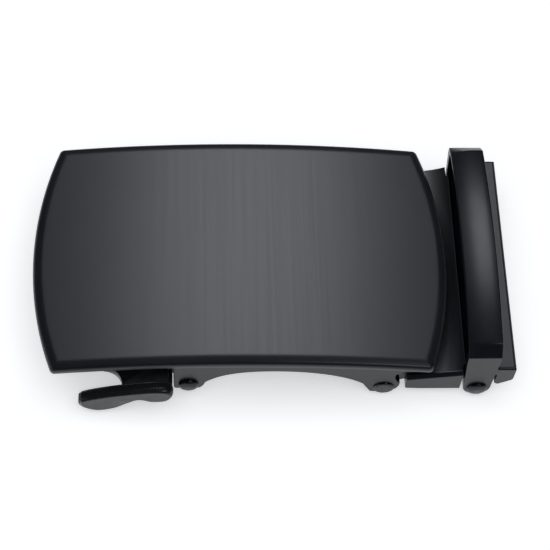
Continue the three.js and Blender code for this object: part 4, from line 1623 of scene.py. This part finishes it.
    def build(self) -> None:
        """Makes the loop."""
        body = self.hoop()
        fuse(body, self.roof_solid(), self.flange(-1), self.flange(1))
        top = self.roof_top + 0.01
        for side in (-1, 1):
            outside = side * (WALL_OUTER + 1)
            edge = Outline(side * (WALL_OUTER - 0.35), top).line(outside, top)
            edge.line(outside, self.roof_top - 0.9)
            cut(body, prism(edge, Direction.ALONG, self.right + 0.03, LOOP_HIGH.x + 1))
        soften(body, Edge(0.13, 3))
        cut(body, cross_bar(CLAMP_PIVOT, RIVET_HOLE, -HALF_WIDTH, HALF_WIDTH))
        hand_over(body, "keeper_loop", CAST_COAT, Body.CLAMP, "clamp_loop")


@dataclass
class GripPlate:
    """The hardened strip under the roof, with rows of small teeth that bite the strap."""

    rows: int = 3
    columns: int = 30
    tooth: float = 0.22

    def build(self) -> None:
        """Makes the strip by its tree."""
        low, high = DATUM.box("grip_plate")
        centre = (low + high) / 2
        sizes = {
            "Length": high.x - low.x,
            "Width": high.y - low.y,
            "Plate": (high.z - low.z) / 2,
            "Tooth Height": (high.z - low.z) / 2,
            "Tooth Radius": self.tooth,
            "Rows": self.rows,
            "Columns": self.columns,
        }
        tree = Tree("grip_tooth_tree", sizes, BRIGHT_STEEL.material())
        size = tree.size
        strip = {"Size": tree.vector(size("Length"), size("Width"), size("Plate"))}
        plate = tree.add("MeshCube", strip).outputs["Mesh"]
        plate = tree.moved(plate, (centre.x, centre.y, high.z - (high.z - low.z) / 4))
        grid = {
            "Size X": tree.math("SUBTRACT", size("Length"), 0.55),
            "Size Y": tree.math("SUBTRACT", size("Width"), 1.4),
            "Vertices X": size("Rows"),
            "Vertices Y": size("Columns"),
        }
        spots = tree.add("MeshGrid", grid).outputs["Mesh"]
        tooth = {
            "Vertices": 8,
            "Radius Top": 0.03,
            "Radius Bottom": size("Tooth Radius"),
            "Depth": size("Tooth Height"),
        }
        cone = tree.moved(tree.add("MeshCone", tooth).outputs["Mesh"], (0, 0, 0), (math.pi, 0, 0))
        teeth = tree.add("InstanceOnPoints", {"Points": spots, "Instance": cone}).outputs[0]
        teeth = tree.moved(teeth, (centre.x, centre.y, centre.z + 0.01))
        made = tree.bake(tree.add("JoinGeometry", {"Geometry": [plate, teeth]}).outputs[0])
        hand_over(made, "serrated_grip", BRIGHT_STEEL, Body.CLAMP, "grip_plate")


# ---- studio ----
@dataclass
class Studio:
    """A pale floor, soft light and the camera.

    Attributes:
        tilt: how far the camera leans from looking straight down, in degrees.
        roll: its turn about its own line of sight.
        yaw: its turn about the belt's cross axis.
        shift: where the face's crown lies in the camera's own frame, in millimetres.
        distance: from the camera to the crown.
        lens: focal length on a 36 mm sensor.
    """

    tilt: float = 28.98
    roll: float = 1.67
    yaw: float = 3.35
    shift: Point = (-5.25, 4.22)
    distance: float = 246.8
    lens: float = 103.2

    def camera(self) -> None:
        """Places the camera."""
        turn = (
            Matrix.Rotation(math.radians(self.roll), 3, "Z")
            @ Matrix.Rotation(math.radians(-self.tilt), 3, "X")
            @ Matrix.Rotation(math.radians(self.yaw), 3, "Y")
        )
        stand = -(turn.transposed() @ Vector((*self.shift, -self.distance)))
        data = bpy.data.cameras.new("camera")
        data.lens = self.lens
        data.sensor_width = 36
        data.clip_start = 0.01
        made = bpy.data.objects.new("camera", data)
        made.matrix_world = Matrix.Translation(DATUM.origin + stand * MM) @ turn.transposed().to_4x4()
        bpy.context.scene.collection.objects.link(made)
        bpy.context.scene.camera = made

    def floor(self) -> None:
        """Lays the floor."""
        shape = bmesh.new()
        bmesh.ops.create_grid(shape, x_segments=8, y_segments=8, size=1.5)
        plane = new_object("floor", shape)
        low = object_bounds()[0].z
        plane.location.z = low
        paint = bpy.data.materials.new("pale_floor")
        paint.use_nodes = True
        shader = paint.node_tree.nodes["Principled BSDF"]
        shader.inputs["Base Color"].default_value = (0.9, 0.9, 0.9, 1)
        shader.inputs["Roughness"].default_value = 0.9
        shader.inputs["Specular IOR Level"].default_value = 0
        shader.inputs["Emission Color"].default_value = (1, 1, 1, 1)
        shader.inputs["Emission Strength"].default_value = 0.5
        plane.data.materials.append(paint)
        plane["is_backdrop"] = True

    def softbox(self, name: str, aim: Vector, distance: float, size: Point, power: float, seen: bool) -> None:
        """Hangs a soft light.

        Args:
            name: its name.
            aim: the direction from the object to the light.
            distance: how far off it hangs, in metres.
            size: its width and height in metres.
            power: in watts.
            seen: whether polished metal mirrors it.
        """
        data = bpy.data.lights.new(name, "AREA")
        data.shape = "RECTANGLE"
        data.size, data.size_y = size
        data.energy = power
        data.color = (0.93, 0.965, 1.0)
        made = bpy.data.objects.new(name, data)
        made.location = DATUM.origin + aim.normalized() * distance
        made.rotation_euler = aim.to_track_quat("Z", "Y").to_euler()
        made.visible_glossy = seen
        made.visible_diffuse = not seen
        bpy.context.scene.collection.objects.link(made)

    def build(self) -> None:
        """Sets up the whole studio."""
        self.floor()
        self.softbox("key", Vector((0.042, 0.5, 0.866)), 0.5, (0.24, 0.26), 0.98, True)
        self.softbox("wash", Vector((0.04, 0.5, 0.866)), 0.51, (0.6, 0.26), 0.46, True)
        self.softbox("over", Vector((0.42, -0.42, 0.84)), 0.6, (0.2, 0.14), 0.42, True)
        self.softbox("side", Vector((-1.0, -0.15, 0.32)), 0.7, (0.5, 0.2), 0.38, True)
        self.softbox("fill", Vector((0.0, -0.15, 1.0)), 1.2, (1.6, 1.6), 13.0, False)
        world = bpy.data.worlds.new("room")
        world.use_nodes = True
        world.node_tree.nodes["Background"].inputs["Color"].default_value = (0.95, 0.97, 1.0, 1)
        world.node_tree.nodes["Background"].inputs["Strength"].default_value = 0.05
        bpy.context.scene.world = world
        bpy.context.scene.view_settings.view_transform = "Standard"


def pins() -> list[HeadedPin]:
    """Lists the pins and rivets.

    Returns:
        Them, ready to build.
    """
    near, far = -WALL_OUTER, WALL_OUTER
    rivet = (1.0, 1.6, 0.7, 0.7, 0.2)
    rivet_end = 16.1
    seat = -WALL_INNER + 0.55
    end = DATUM.box("lever_dowel")[1].y
    return [
        HeadedPin("pawl_pin", 0.8, 1.55, 0.8, 0.4, 0.25, near, far, Body.FRAME, "pawl_pivot_pin"),
        HeadedPin("hinge_pin", 1.1, 1.65, 0.35, 0.35, 0.75, near, far, Body.FRAME, "tail_hinge_pin"),
        HeadedPin("clamp_rivet_near", *rivet, near, -rivet_end, Body.TAIL, "near_clamp_rivet"),
        HeadedPin("clamp_rivet_far", *rivet, far, rivet_end, Body.TAIL, "far_clamp_rivet"),
        HeadedPin("lever_dowel", 0.6, 1.0, 0.25, 0.0, 0.5, seat, end, Body.PAWL_SET, "lever_arm_dowel"),
    ]


def main() -> None:
    """Builds the buckle piece by piece, then the studio."""
    logging.basicConfig(level=logging.INFO, format="%(name)s: %(message)s")
    studio = Studio()
    studio.camera()
    parts = [FacePlate(), Chassis(), FaceScrews(), *pins(), Pawl(), PawlSpring(), ReleaseLever()]
    parts += [TailHousing(), ClampLoop(), GripPlate()]
    for part in parts:
        part.build()
    studio.build()


if __name__ == "__main__":
    main()
